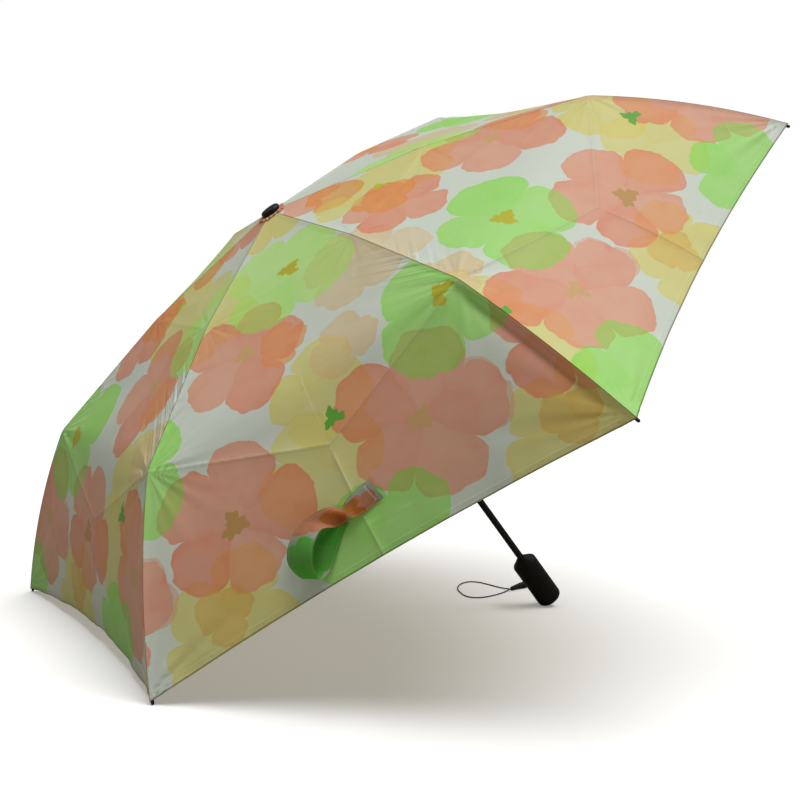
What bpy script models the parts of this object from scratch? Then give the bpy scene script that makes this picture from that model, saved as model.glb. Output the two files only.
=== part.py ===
"""A three-fold travel umbrella with six ribs, open, resting on two rib tips and its handle.

Everything but the wrist cord is modelled in the umbrella's own frame, whose origin is the
middle of the handle's end face, with +Z along the shaft to the crown. The empty "umbrella"
tilts that frame until two neighbouring tips and the handle's rim touch the floor at Z = 0.
The world's origin is on the floor under the middle of the circle of tips.
"""

import math

import bmesh
import bpy
from mathutils import Matrix, Vector

# Whole umbrella
RIBS = 6
FIRST_RIB_ANGLE = math.radians(30)
RIB_STEP = 2 * math.pi / RIBS
HALF_STEP = RIB_STEP / 2
GAP = 0.0003
ROUND_SIDES = 32
CUT_PAST = 0.0010

# Handle
HANDLE_RADIUS = 0.01425
HANDLE_LENGTH = 0.067
HANDLE_EDGE = 0.0065
HANDLE_SHOULDER = 0.0580
HANDLE_CORNER = 0.0032
NECK_RADIUS = 0.0048
NECK_CHAMFER = 0.0006
BORE_RADIUS = 0.0041
BORE_FLOOR = 0.0125
END_CAP_RADIUS = 0.0056
END_CAP_DEPTH = 0.0025

# Shaft: three tubes, each with its outer and inner radius and its two ends
LOWER_TUBE = (0.0038, 0.0032, 0.0128, 0.2500)
MIDDLE_TUBE = (0.00465, 0.0041, 0.2145, 0.4000)
TOP_TUBE = (0.0055, 0.00495, 0.3615, 0.5540)

# Crown, top cap and runner
CROWN_RADIUS = 0.0106
CROWN_TOP = 0.5557
CROWN_BOTTOM = 0.5475
CROWN_SKIRT = 0.5405
CROWN_SKIRT_RADIUS = 0.0072
HUB_BORE = 0.0058
SLOT_FLOOR = 0.0075
CROWN_CHAMFER = 0.0008
CAP_EDGE = 0.0012
CAP_BOTTOM = 0.5568
CAP_TOP = 0.5613
RIB_PIVOT_RADIUS = 0.0090
RIB_PIVOT_HEIGHT = 0.5516
STRETCHER_PIVOT_RADIUS = 0.0089
RUNNER_HEAD_RADIUS = 0.0105
RUNNER_SLEEVE_RADIUS = 0.0073
RUNNER_LENGTH = 0.0220
RUNNER_HEAD_HALF = 0.0030
RUNNER_CONE = 0.0010
RUNNER_CHAMFER = 0.0006
BUTTON_WIDTH = 0.0050
BUTTON_LENGTH = 0.0110
BUTTON_INNER = 0.0068
BUTTON_OUTER = 0.0098
BUTTON_EDGE = 0.0006

# Ribs: flat strips in two planes side by side, so that they pass each other when folding
STRIP_HALF_HEIGHT = 0.0011
EYE_RADIUS = 0.0012
EYE_STEPS = 6
NEAR_PLANE = (-0.0015, -0.0002)
FAR_PLANE = (0.0002, 0.0015)
SLOT_MARGIN = 0.0003
STRETCHER_REACH = 0.072
STRETCHER_LENGTH = 0.083
KNUCKLE_OFFSET = 0.0025
SHOULDER_OFFSET = -0.0020
TIP_RADIUS = 0.0016
TIP_LENGTH = 0.0100
TIP_SIDES = 12

# Canopy: the ridge over a rib, as (distance from the shaft, height), and the hem
RIDGE_TOP = Vector((0.0130, 0.5555))
RIDGE_KNUCKLE = Vector((0.1700, 0.5279))
RIDGE_SHOULDER = Vector((0.3348, 0.4809))
TIP_BALL = Vector((0.4888, 0.3405))
HEM_MIDDLE = Vector((0.4095, 0.3457))
RIDGE_LIFT = 0.0046
CORNER_LIFT = 0.0026
CORNER_BACK = 0.0080
OUTER_BOW = 0.0065
CLOTH = 0.0005
OUTER_ROWS = 5
HEM_COLUMNS = 4
RIB_STATIONS = 8

# Tie strap, sewn to the middle of one gore: width, thickness and clearance from the cloth
STRAP_WIDTH = 0.024
STRAP_THICKNESS = 0.0016
STRAP_CLEARANCE = 0.0012
STRAP_GORE = 4
SMALL_SHARE = 0.01
# Places along the strap, as (across the gore, 0 on one rib, 1 in the middle and 2 on the next
# rib; share of the way from shoulder to hem)
STRAP_ROUTE = ((1.13, 0.62), (0.96, 0.68), (0.83, 0.70), (0.75, 0.74), (0.72, 0.83), (0.71, 0.92))

# Wrist cord, in world coordinates on the floor
CORD_RADIUS = 0.00075
CORD_POINTS = 80
CURVE_STEPS = 20
FERRULE_THIN_RADIUS = 0.0024
FERRULE_FAT_RADIUS = 0.0040
FERRULE_BORE = 0.00105
FERRULE_EDGE = 0.0010
FERRULE_SIDES = 16
FERRULE_THIN_END = Vector((0.2085, 0.0830, 0.0024))
FERRULE_FAT_END = Vector((0.2362, 0.0945, 0.0040))
CORD_ROUTE = (
    (0.2085, 0.0148, 0.0160),
    (0.2110, 0.0190, 0.0155),
    (0.2200, 0.0300, 0.0080),
    (0.2300, 0.0430, 0.0016),
    (0.2400, 0.0600, 0.0008),
    (0.2480, 0.0790, 0.0009),
    (0.2465, 0.0925, 0.0022),
    (0.2400, 0.0961, 0.0040),
    (0.2362, 0.0945, 0.0040),
    (0.2224, 0.0888, 0.0032),
    (0.2085, 0.0830, 0.0024),
    (0.1980, 0.0768, 0.0011),
    (0.1868, 0.0697, 0.0008),
    (0.1687, 0.0608, 0.0008),
    (0.1526, 0.0568, 0.0008),
    (0.1425, 0.0635, 0.0008),
    (0.1420, 0.0800, 0.0008),
    (0.1500, 0.1080, 0.0008),
    (0.1660, 0.1320, 0.0008),
    (0.1830, 0.1420, 0.0008),
    (0.1930, 0.1350, 0.0008),
    (0.1985, 0.1190, 0.0008),
    (0.2025, 0.1020, 0.0009),
    (0.2053, 0.0905, 0.0015),
    (0.2073, 0.0849, 0.0022),
)


def material(name, colour, roughness, metallic=0.0):
    """A Principled material."""
    made = bpy.data.materials.new(name)
    made.use_nodes = True
    shader = made.node_tree.nodes["Principled BSDF"]
    shader.inputs["Base Color"].default_value = (*colour, 1.0)
    shader.inputs["Roughness"].default_value = roughness
    shader.inputs["Metallic"].default_value = metallic
    return made


def black_plastic(part):
    return material(part + "_plastic", (0.012, 0.012, 0.013), 0.45)


def black_steel(part):
    return material(part + "_steel", (0.015, 0.015, 0.017), 0.30, 0.6)


def rib_steel(part):
    return material(part + "_zinc", (0.55, 0.56, 0.58), 0.35, 0.9)


def printed_cloth(part):
    return material(part + "_cloth", (0.72, 0.55, 0.42), 0.60)


def placed(name, body, finish, parent, location=(0, 0, 0), smooth=True):
    """An object from a bmesh, under its parent."""
    bmesh.ops.recalc_face_normals(body, faces=body.faces)
    mesh = bpy.data.meshes.new(name)
    body.to_mesh(mesh)
    body.free()
    if smooth:
        mesh.shade_smooth()
        mesh.set_sharp_from_angle(angle=math.radians(35))
    mesh.materials.append(finish)
    made = bpy.data.objects.new(name, mesh)
    bpy.context.scene.collection.objects.link(made)
    made.parent = parent
    made.location = location
    return made


def empty(name, parent, location=(0, 0, 0), turn=0.0):
    """A guide whose place is a joint's axis: its Y axis is the hinge line of the rib at that turn."""
    made = bpy.data.objects.new(name, None)
    bpy.context.scene.collection.objects.link(made)
    made.empty_display_size = 0.01
    made.parent = parent
    made.location = location
    made.rotation_euler = (0, 0, turn)
    return made


def arc(centre, radius, start, stop, steps):
    """Points of an arc in a plane, angles in degrees."""
    angles = [math.radians(start + (stop - start) * i / steps) for i in range(steps + 1)]
    return [Vector((centre[0] + radius * math.cos(a), centre[1] + radius * math.sin(a))) for a in angles]


def turned(outline, sides=ROUND_SIDES):
    """A body turned about Z from a closed outline of (radius, height) points."""
    body = bmesh.new()
    rings = []
    for radius, height in outline:
        turns = [2 * math.pi * i / sides for i in range(sides if radius > 0 else 1)]
        rings.append([body.verts.new((radius * math.cos(a), radius * math.sin(a), height)) for a in turns])
    for low, high in zip(rings, rings[1:] + rings[:1]):
        if len(low) + len(high) == 2:
            continue
        for i in range(sides):
            j = (i + 1) % sides
            corners = (low[i % len(low)], low[j % len(low)], high[j % len(high)], high[i % len(high)])
            body.faces.new(list(dict.fromkeys(corners)))
    return body


def tube(name, sizes, finish, parent):
    """A round tube with open ends."""
    outer, inner, bottom, top = sizes
    body = turned([(outer, bottom), (outer, top), (inner, top), (inner, bottom)])
    placed(name, body, finish, parent)


def box(body, low, high, turn=0.0):
    """Adds a box between two corners, turned about Z."""
    made = bmesh.ops.create_cube(body, size=1)["verts"]
    for vert in made:
        share = vert.co + Vector((0.5, 0.5, 0.5))
        vert.co = [low[i] + share[i] * (high[i] - low[i]) for i in range(3)]
    bmesh.ops.rotate(body, cent=(0, 0, 0), matrix=Matrix.Rotation(turn, 3, "Z"), verts=made)


def cut_with(target, cutter_body, name):
    """Cuts a hidden guide shape out of an object."""
    cutter = placed(name, cutter_body, target.data.materials[0], target.parent, target.location, smooth=False)
    cutter.hide_render = True
    cutter.display_type = "WIRE"
    cut = target.modifiers.new(name, "BOOLEAN")
    cut.operation = "DIFFERENCE"
    cut.solver = "EXACT"
    cut.object = cutter


def rib_turn(rib):
    """The angle about the shaft of a rib, counted from 1."""
    return FIRST_RIB_ANGLE + (rib - 1) * RIB_STEP


def slots(plane, low, high):
    """One radial slot for each rib, as wide as a strip in that plane and its margins."""
    body = bmesh.new()
    for rib in range(1, RIBS + 1):
        corner = (SLOT_FLOOR, plane[0] - SLOT_MARGIN, low)
        box(body, corner, (3 * SLOT_FLOOR, plane[1] + SLOT_MARGIN, high), rib_turn(rib))
    return body


def across(direction):
    """The normal of a direction in the rib's plane, on the canopy's side."""
    return Vector((-direction.y, direction.x))


def eye_end(centre, line, side):
    """A strip's right-hand (1) or left-hand (-1) end, round its eye from lower to upper edge."""
    x, y = side * centre[0], centre[1]
    low, high = line - STRIP_HALF_HEIGHT, line + STRIP_HALF_HEIGHT
    if y > high:
        shape = [Vector((x + EYE_RADIUS, low)), *arc((x, y), EYE_RADIUS, 0, 180, EYE_STEPS)]
        shape.append(Vector((x - EYE_RADIUS, high)))
    elif y < low:
        shape = [Vector((x - EYE_RADIUS, low)), *arc((x, y), EYE_RADIUS, 180, 360, EYE_STEPS)]
        shape.append(Vector((x + EYE_RADIUS, high)))
    else:
        shape = arc((x, line), STRIP_HALF_HEIGHT, -90, 90, EYE_STEPS)
    return [Vector((side * point.x, point.y)) for point in shape]


def strip_outline(start, end, line=0.0):
    """The side of a flat strip with an eye at each end.

    start and end are the eyes' centres, and line is the height of the strip's middle. An eye
    off that line stands on a short tab.
    """
    return [*eye_end(end, line, 1), *reversed(eye_end(start, line, -1))]


def strip(name, outline, plane, angle, finish, parent):
    """A flat strip cut to an outline in the rib's plane, as thick as its lateral plane."""
    body = bmesh.new()
    direction = Vector((math.cos(angle), math.sin(angle)))
    points = [point.x * direction + point.y * across(direction) for point in outline]
    near = [body.verts.new((p.x, plane[0], p.y)) for p in points]
    far = [body.verts.new((p.x, plane[1], p.y)) for p in points]
    body.faces.new(near)
    body.faces.new(far)
    for i in range(len(points)):
        j = (i + 1) % len(points)
        body.faces.new((near[i], near[j], far[j], far[i]))
    return placed(name, body, finish, parent, smooth=False)


def angle_between(start, end):
    return math.atan2(end.y - start.y, end.x - start.x)


def along_strip(point, origin, angle):
    """A point of the rib's plane, counted along and across a strip from its origin."""
    direction = Vector((math.cos(angle), math.sin(angle)))
    offset = point - origin
    return Vector((offset.dot(direction), offset.dot(across(direction))))


class RibPlan:
    """The rib's pivots and angles in its own plane, worked out from the canopy's ridge."""

    def __init__(self):
        self.top_angle = angle_between(RIDGE_TOP, RIDGE_KNUCKLE)
        self.middle_angle = angle_between(RIDGE_KNUCKLE, RIDGE_SHOULDER)
        normal = across(Vector((math.cos(self.middle_angle), math.sin(self.middle_angle))))
        self.crown = Vector((RIB_PIVOT_RADIUS, RIB_PIVOT_HEIGHT))
        self.knuckle = RIDGE_KNUCKLE - (RIDGE_LIFT - KNUCKLE_OFFSET) * normal
        self.shoulder = RIDGE_SHOULDER - (RIDGE_LIFT - SHOULDER_OFFSET) * normal
        self.outer_angle = angle_between(self.shoulder, TIP_BALL)
        along = Vector((math.cos(self.top_angle), math.sin(self.top_angle)))
        self.joint = self.crown + STRETCHER_REACH * along
        run = self.joint.x - STRETCHER_PIVOT_RADIUS
        drop = math.sqrt(STRETCHER_LENGTH**2 - run**2)
        self.runner = Vector((STRETCHER_PIVOT_RADIUS, self.joint.y - drop))
        self.stretcher_angle = angle_between(self.runner, self.joint)


PLAN = RibPlan()


def bowed(start, end, bow, share):
    """A point on a shallow arch between two points."""
    direction = (end - start).normalized()
    return start.lerp(end, share) + across(direction) * bow * 4 * share * (1 - share)


def tip_axis():
    """The tip's own direction, which is the end of the outer rib's arch."""
    return (TIP_BALL - bowed(PLAN.shoulder, TIP_BALL, OUTER_BOW, 0.95)).normalized()


def corner():
    """The end of the ridge, where the cloth's corner meets the tip."""
    direction = tip_axis()
    return TIP_BALL - CORNER_BACK * direction + CORNER_LIFT * across(direction)


def ridge(section, share):
    """A point of the ridge over a rib, in the rib's plane."""
    if section == "outer":
        return bowed(RIDGE_SHOULDER, corner(), OUTER_BOW, share)
    ends = {"inner": (RIDGE_TOP, RIDGE_KNUCKLE), "middle": (RIDGE_KNUCKLE, RIDGE_SHOULDER)}
    return ends[section][0].lerp(ends[section][1], share)


def cloth_point(section, across_share, along_share, side):
    """A point of the canopy beside a rib: across_share is 0 on the ridge and 1 in the gore's middle."""
    top = ridge(section, along_share)
    middle = Vector((top.x * math.cos(HALF_STEP), top.y))
    if section == "outer":
        end = corner()
        hem = HEM_MIDDLE - Vector((end.x * math.cos(HALF_STEP), end.y))
        pull = (2 * across_share - across_share**2) * along_share**1.5
    else:
        hem, pull = Vector((0, 0)), 0.0
    turn = side * HALF_STEP
    crossing = Vector((middle.x * math.cos(turn), middle.x * math.sin(turn), middle.y))
    straight = Vector((top.x, 0, top.y)).lerp(crossing, across_share)
    return straight + pull * Vector((hem.x * math.cos(turn), hem.x * math.sin(turn), hem.y))


def thickened(rows, thickness):
    """A closed shell from a grid of points, as thick below it as given."""
    body = bmesh.new()
    top = [[body.verts.new(point) for point in row] for row in rows]
    for row, following in zip(top, top[1:]):
        for i in range(len(row) - 1):
            body.faces.new((row[i], row[i + 1], following[i + 1], following[i]))
    bmesh.ops.recalc_face_normals(body, faces=body.faces)
    body.normal_update()
    if sum(face.normal.z for face in body.faces) < 0:
        bmesh.ops.reverse_faces(body, faces=body.faces)
        body.normal_update()
    below = {v: body.verts.new(v.co - v.normal * thickness) for row in top for v in row}
    rim = [edge for edge in body.edges if edge.is_boundary]
    for face in list(body.faces):
        body.faces.new([below[v] for v in reversed(face.verts)])
    for edge in rim:
        first, second = edge.verts
        body.faces.new((first, second, below[second], below[first]))
    return body


def canopy_rows(section):
    """The grid of one canopy piece about its rib, from one gore's middle to the next."""
    columns = HEM_COLUMNS if section == "outer" else 1
    steps = OUTER_ROWS if section == "outer" else 1
    sizes = {"inner": RIDGE_KNUCKLE - RIDGE_TOP, "middle": RIDGE_SHOULDER - RIDGE_KNUCKLE}
    length = sizes.get(section, TIP_BALL - RIDGE_SHOULDER).length
    first = 0.0 if section == "inner" else GAP / length
    last = 1.0 if section == "outer" else 1 - GAP / length
    rows = []
    for row in range(steps + 1):
        along = first + (last - first) * row / steps
        half_width = ridge(section, along).x * math.sin(HALF_STEP)
        reach = 1 - GAP / half_width
        shares = [reach * column / columns for column in range(columns + 1)]
        left = [cloth_point(section, share, along, -1) for share in reversed(shares[1:])]
        right = [cloth_point(section, share, along, 1) for share in shares]
        rows.append(left + right)
    return rows


def canopy_piece(rib, section, hinge, pivot):
    """The cloth that one rib segment carries."""
    origin = Vector((pivot.x, 0, pivot.y))
    rows = [[point - origin for point in row] for row in canopy_rows(section)]
    name = f"canopy_{section}_{rib}"
    return placed(name, thickened(rows, CLOTH), printed_cloth(name), hinge)


def rib_tip(rib, hinge, pivot):
    """The round-ended plastic tip on an outer rib."""
    outline = [(0, 0), (TIP_RADIUS, 0), (TIP_RADIUS, TIP_LENGTH)]
    outline += [(TIP_RADIUS * math.cos(a), TIP_LENGTH + TIP_RADIUS * math.sin(a)) for a in (0.5, 1.0)]
    outline += [(0, TIP_LENGTH + TIP_RADIUS)]
    name = f"tip_{rib}"
    start = TIP_BALL - TIP_LENGTH * tip_axis() - pivot
    made = placed(name, turned(outline, TIP_SIDES), black_plastic(name), hinge, (start.x, 0, start.y))
    made.rotation_euler = (0, math.pi / 2 - math.atan2(tip_axis().y, tip_axis().x), 0)
    return made


def rib_set(rib, umbrella):
    """One rib's three strips, stretcher, tip and cloth, each under the empty on its hinge line."""
    turn = rib_turn(rib)

    def hinge(name, pivot):
        place = (pivot.x * math.cos(turn), pivot.x * math.sin(turn), pivot.y)
        return empty(f"{name}_hinge_{rib}", umbrella, place, turn)

    crown, knuckle = hinge("top_rib", PLAN.crown), hinge("middle_rib", PLAN.knuckle)
    shoulder, runner = hinge("outer_rib", PLAN.shoulder), hinge("stretcher", PLAN.runner)

    end = along_strip(PLAN.knuckle, PLAN.crown, PLAN.top_angle)
    name = f"top_rib_{rib}"
    strip(name, strip_outline((0, 0), end), NEAR_PLANE, PLAN.top_angle, rib_steel(name), crown)

    end = along_strip(PLAN.shoulder, PLAN.knuckle, PLAN.middle_angle)
    name = f"middle_rib_{rib}"
    shape = strip_outline((0, 0), end, -KNUCKLE_OFFSET)
    strip(name, shape, FAR_PLANE, PLAN.middle_angle, rib_steel(name), knuckle)

    whole = (TIP_BALL - PLAN.shoulder).length
    reach = whole - TIP_LENGTH - STRIP_HALF_HEIGHT - GAP
    name = f"outer_rib_{rib}"
    end_point = bowed(PLAN.shoulder, TIP_BALL, OUTER_BOW, reach / whole)
    end = along_strip(end_point, PLAN.shoulder, PLAN.outer_angle)
    strip(name, outer_outline(end), NEAR_PLANE, PLAN.outer_angle, black_steel(name), shoulder)

    name = f"stretcher_{rib}"
    shape = strip_outline((0, 0), (STRETCHER_LENGTH, 0))
    strip(name, shape, FAR_PLANE, PLAN.stretcher_angle, rib_steel(name), runner)

    rib_tip(rib, shoulder, PLAN.shoulder)
    canopy_piece(rib, "inner", crown, PLAN.crown)
    canopy_piece(rib, "middle", knuckle, PLAN.knuckle)
    canopy_piece(rib, "outer", shoulder, PLAN.shoulder)


def outer_outline(end):
    """The outer rib's side: an eye below a strip that arches from the shoulder to the tip."""
    half, eye = STRIP_HALF_HEIGHT, EYE_RADIUS
    whole = (TIP_BALL - PLAN.shoulder).length
    lift = -SHOULDER_OFFSET

    def height(x):
        share = x / whole
        return lift * (1 - share) + OUTER_BOW * 4 * share * (1 - share)

    def edge(side):
        """Points along one edge, square to the arch at its end."""
        slope = math.atan2(height(end.x) - height(before_end), end.x - before_end)
        last = Vector((end.x, height(end.x))) + side * half * Vector((-math.sin(slope), math.cos(slope)))
        return [Vector((x, height(x) + side * half)) for x in stations] + [last]

    stations = [end.x * i / RIB_STATIONS for i in range(1, RIB_STATIONS)]
    before_end = end.x * 0.98
    tab = arc((0, 0), eye, 180, 360, EYE_STEPS)
    foot = Vector((1.5 * eye, height(0) - half))
    return [*tab, foot, *edge(-1), *reversed(edge(1)), Vector((-eye, lift + half))]


def handle_parts(umbrella):
    """The grip, its end cap and the tube fixed in it."""
    edge = arc((HANDLE_RADIUS - HANDLE_EDGE, HANDLE_EDGE), HANDLE_EDGE, -90, 0, 5)
    top = arc((HANDLE_RADIUS - HANDLE_CORNER, HANDLE_SHOULDER), HANDLE_CORNER, 0, 65, 4)
    seat_radius, seat_height = END_CAP_RADIUS + GAP, END_CAP_DEPTH + GAP
    outline = [(0, seat_height), (seat_radius, seat_height), (seat_radius, 0)]
    outline += [tuple(point) for point in edge + top]
    outline += [(NECK_RADIUS + NECK_CHAMFER, HANDLE_LENGTH - NECK_CHAMFER), (NECK_RADIUS, HANDLE_LENGTH)]
    outline += [(BORE_RADIUS, HANDLE_LENGTH), (BORE_RADIUS, BORE_FLOOR), (0, BORE_FLOOR)]
    placed("handle_grip", turned(outline), black_plastic("handle_grip"), umbrella)
    outline = [(0, 0), (END_CAP_RADIUS, 0), (END_CAP_RADIUS, END_CAP_DEPTH), (0, END_CAP_DEPTH)]
    placed("handle_end_cap", turned(outline), black_plastic("handle_end_cap"), umbrella)
    tube("lower_tube", LOWER_TUBE, black_steel("lower_tube"), umbrella)


def crown_parts(umbrella):
    """The slotted crown on the top tube, and the cap over the canopy's middle."""
    outline = [
        (CROWN_SKIRT_RADIUS, CROWN_SKIRT),
        (CROWN_SKIRT_RADIUS, CROWN_BOTTOM),
        (CROWN_RADIUS, CROWN_BOTTOM),
        (CROWN_RADIUS, CROWN_TOP - CROWN_CHAMFER),
        (CROWN_RADIUS - CROWN_CHAMFER, CROWN_TOP),
        (0, CROWN_TOP),
        (0, TOP_TUBE[3] + GAP),
        (HUB_BORE, TOP_TUBE[3] + GAP),
        (HUB_BORE, CROWN_SKIRT),
    ]
    crown = placed("crown", turned(outline), black_plastic("crown"), umbrella)
    slot_top = RIB_PIVOT_HEIGHT + EYE_RADIUS + GAP
    cut_with(crown, slots(NEAR_PLANE, CROWN_SKIRT - CUT_PAST, slot_top), "crown_slots")
    below = arc((CROWN_RADIUS - CAP_EDGE, CAP_BOTTOM + CAP_EDGE), CAP_EDGE, -60, 0, 3)
    dome = arc((CROWN_RADIUS - 2 * CAP_EDGE, CAP_TOP - 2 * CAP_EDGE), 2 * CAP_EDGE, 0, 90, 4)
    outline = [(0, CAP_BOTTOM), (CROWN_RADIUS - CAP_EDGE, CAP_BOTTOM)]
    outline += [tuple(point) for point in below + dome]
    outline += [(0, CAP_TOP)]
    placed("top_cap", turned(outline), black_plastic("top_cap"), umbrella)


def runner_parts(umbrella):
    """The runner that slides on the top tube, and its sprung catch button.

    Each slot holds a stretcher's eye and lets the folded top rib pass beside it.
    """
    height = PLAN.runner.y
    head, chamfer = RUNNER_HEAD_HALF, RUNNER_CHAMFER
    outline = [
        (RUNNER_SLEEVE_RADIUS - chamfer, -RUNNER_LENGTH),
        (RUNNER_SLEEVE_RADIUS, -RUNNER_LENGTH + chamfer),
        (RUNNER_SLEEVE_RADIUS, -head - RUNNER_CONE),
        (RUNNER_HEAD_RADIUS, -head),
        (RUNNER_HEAD_RADIUS, head - chamfer),
        (RUNNER_HEAD_RADIUS - chamfer, head),
        (HUB_BORE, head),
        (HUB_BORE, -RUNNER_LENGTH),
    ]
    runner = placed("runner", turned(outline), black_plastic("runner"), umbrella, (0, 0, height))
    both_planes = (NEAR_PLANE[0], FAR_PLANE[1])
    cutters = slots(both_planes, -head - RUNNER_CONE - CUT_PAST, head + CUT_PAST)
    middle = -0.5 * (RUNNER_LENGTH + head)
    half_width, half_length = BUTTON_WIDTH / 2, BUTTON_LENGTH / 2
    low = (HUB_BORE - CUT_PAST, -half_width - GAP, middle - half_length - GAP)
    high = (RUNNER_HEAD_RADIUS, half_width + GAP, middle + half_length + GAP)
    box(cutters, low, high)
    cut_with(runner, cutters, "runner_slots")
    body = bmesh.new()
    low = (BUTTON_INNER, -half_width, middle - half_length)
    box(body, low, (BUTTON_OUTER, half_width, middle + half_length))
    button = placed("release_button", body, black_plastic("release_button"), umbrella, (0, 0, height), False)
    bevel = button.modifiers.new("rounded", "BEVEL")
    bevel.width = BUTTON_EDGE
    bevel.segments = 2
    bevel.limit_method = "ANGLE"


def gore_point(gore, across_gore, along_share):
    """A point of the outer canopy: across_gore runs from 0 on the gore's rib to 2 on the next."""
    if across_gore <= 1:
        rib, share, side = gore, across_gore, 1
    else:
        rib, share, side = gore + 1, 2 - across_gore, -1
    return Matrix.Rotation(rib_turn(rib), 3, "Z") @ cloth_point("outer", share, along_share, side)


def tie_strap(umbrella):
    """A short strap of the canopy's cloth, sewn to a gore near its middle and lying on it."""
    centres = [gore_point(STRAP_GORE, *route) for route in STRAP_ROUTE]
    rows = []
    for i, (across_gore, along_share) in enumerate(STRAP_ROUTE):
        one = gore_point(STRAP_GORE, across_gore + SMALL_SHARE, along_share) - centres[i]
        other = gore_point(STRAP_GORE, across_gore, along_share + SMALL_SHARE) - centres[i]
        up = other.cross(one).normalized()
        if up.z < 0:
            up.negate()
        forward = (centres[min(i + 1, len(centres) - 1)] - centres[max(i - 1, 0)]).normalized()
        sideways = forward.cross(up).normalized() * STRAP_WIDTH / 2
        middle = centres[i] + up * (STRAP_CLEARANCE + STRAP_THICKNESS)
        rows.append([middle - sideways, middle + sideways])
    body = thickened(rows, STRAP_THICKNESS)
    placed("tie_strap", body, printed_cloth("tie_strap"), umbrella)


def curve_point(a, b, c, d, t):
    """The point at share t of the way from b to c, on a Catmull-Rom curve."""
    square = 2 * a - 5 * b + 4 * c - d
    cube = 3 * b - a - 3 * c + d
    return b + 0.5 * ((c - a) * t + square * t**2 + cube * t**3)


def smooth_route(points, count):
    """Evenly spaced points on a Catmull-Rom curve through the given ones."""
    points = [Vector(point) for point in points]
    padded = [2 * points[0] - points[1], *points, 2 * points[-1] - points[-2]]
    fine = []
    for four in zip(padded, padded[1:], padded[2:], padded[3:]):
        fine += [curve_point(*four, step / CURVE_STEPS) for step in range(CURVE_STEPS)]
    fine.append(points[-1])
    lengths = [0.0]
    for one, other in zip(fine, fine[1:]):
        lengths.append(lengths[-1] + (other - one).length)
    even, k = [], 0
    for i in range(count):
        wanted = lengths[-1] * i / (count - 1)
        while k < len(fine) - 2 and lengths[k + 1] < wanted:
            k += 1
        share = (wanted - lengths[k]) / (lengths[k + 1] - lengths[k])
        even.append(fine[k].lerp(fine[k + 1], share))
    return even


def wrist_cord():
    """The thin cord from the handle's side, through its sleeve and round in a loop on the floor."""
    curve = bpy.data.curves.new("wrist_cord", "CURVE")
    curve.dimensions = "3D"
    curve.bevel_depth = CORD_RADIUS
    curve.bevel_resolution = 2
    curve.use_fill_caps = True
    points = smooth_route(CORD_ROUTE, CORD_POINTS)
    spline = curve.splines.new("POLY")
    spline.points.add(len(points) - 1)
    for place, point in zip(spline.points, points):
        place.co = (point.x, point.y, max(point.z, CORD_RADIUS), 1)
    made = bpy.data.objects.new("wrist_cord", curve)
    bpy.context.scene.collection.objects.link(made)
    curve.materials.append(material("wrist_cord_braid", (0.010, 0.010, 0.011), 0.7))


def cord_ferrule():
    """The tapered sleeve that gathers the loop's two ends."""
    axis = FERRULE_FAT_END - FERRULE_THIN_END
    edge, length = FERRULE_EDGE, axis.length
    flare = FERRULE_FAT_RADIUS - FERRULE_THIN_RADIUS
    outline = [(FERRULE_THIN_RADIUS - edge / 2, 0), (FERRULE_THIN_RADIUS, edge)]
    outline += [(FERRULE_THIN_RADIUS + flare * share, length * share) for share in (0.4, 0.8)]
    outline += [(FERRULE_FAT_RADIUS, length - 2 * edge), (FERRULE_FAT_RADIUS - 2 * edge, length)]
    outline += [(FERRULE_BORE, length), (FERRULE_BORE, 0)]
    finish = material("cord_ferrule_rubber", (0.011, 0.011, 0.011), 0.55)
    made = placed("cord_ferrule", turned(outline, FERRULE_SIDES), finish, None)
    made.location = FERRULE_THIN_END
    made.rotation_euler = axis.to_track_quat("Z", "Y").to_euler()


def resting_frame():
    """The empty that tilts the umbrella until two tips and the handle's rounded rim touch the floor."""
    rim = Vector((HANDLE_EDGE - HANDLE_RADIUS, HANDLE_EDGE))
    ball = Vector((-TIP_BALL.x * math.cos(HALF_STEP), TIP_BALL.y))
    span = ball - rim
    tilt = math.pi - math.asin((TIP_RADIUS - HANDLE_EDGE) / span.length) - math.atan2(span.y, span.x)
    lift = HANDLE_EDGE - rim.x * math.sin(tilt) - rim.y * math.cos(tilt)
    umbrella = empty("umbrella", None, (TIP_BALL.y * math.sin(tilt), 0, lift))
    umbrella.rotation_euler = (0, -tilt, 0)
    return umbrella


def main():
    for old in list(bpy.data.objects):
        bpy.data.objects.remove(old, do_unlink=True)
    umbrella = resting_frame()
    handle_parts(umbrella)
    tube("middle_tube", MIDDLE_TUBE, black_steel("middle_tube"), umbrella)
    tube("top_tube", TOP_TUBE, black_steel("top_tube"), umbrella)
    crown_parts(umbrella)
    runner_parts(umbrella)
    for rib in range(1, RIBS + 1):
        rib_set(rib, umbrella)
    tie_strap(umbrella)
    wrist_cord()
    cord_ferrule()


main()
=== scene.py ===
"""Looks of the six-rib folding umbrella: printed canopy, tie strap, wrist cord, rib details and studio.

The canopy is one continuous stretched surface, cut at the rib joints and at the middle of each
gore so that every piece rides on the rib that carries it. Sizes are in metres. The umbrella's own
frame has its origin at the middle of the handle's end face and +Z along the shaft.
"""

import math

import bmesh
import bpy
import numpy as np
from mathutils import Matrix, Vector


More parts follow.
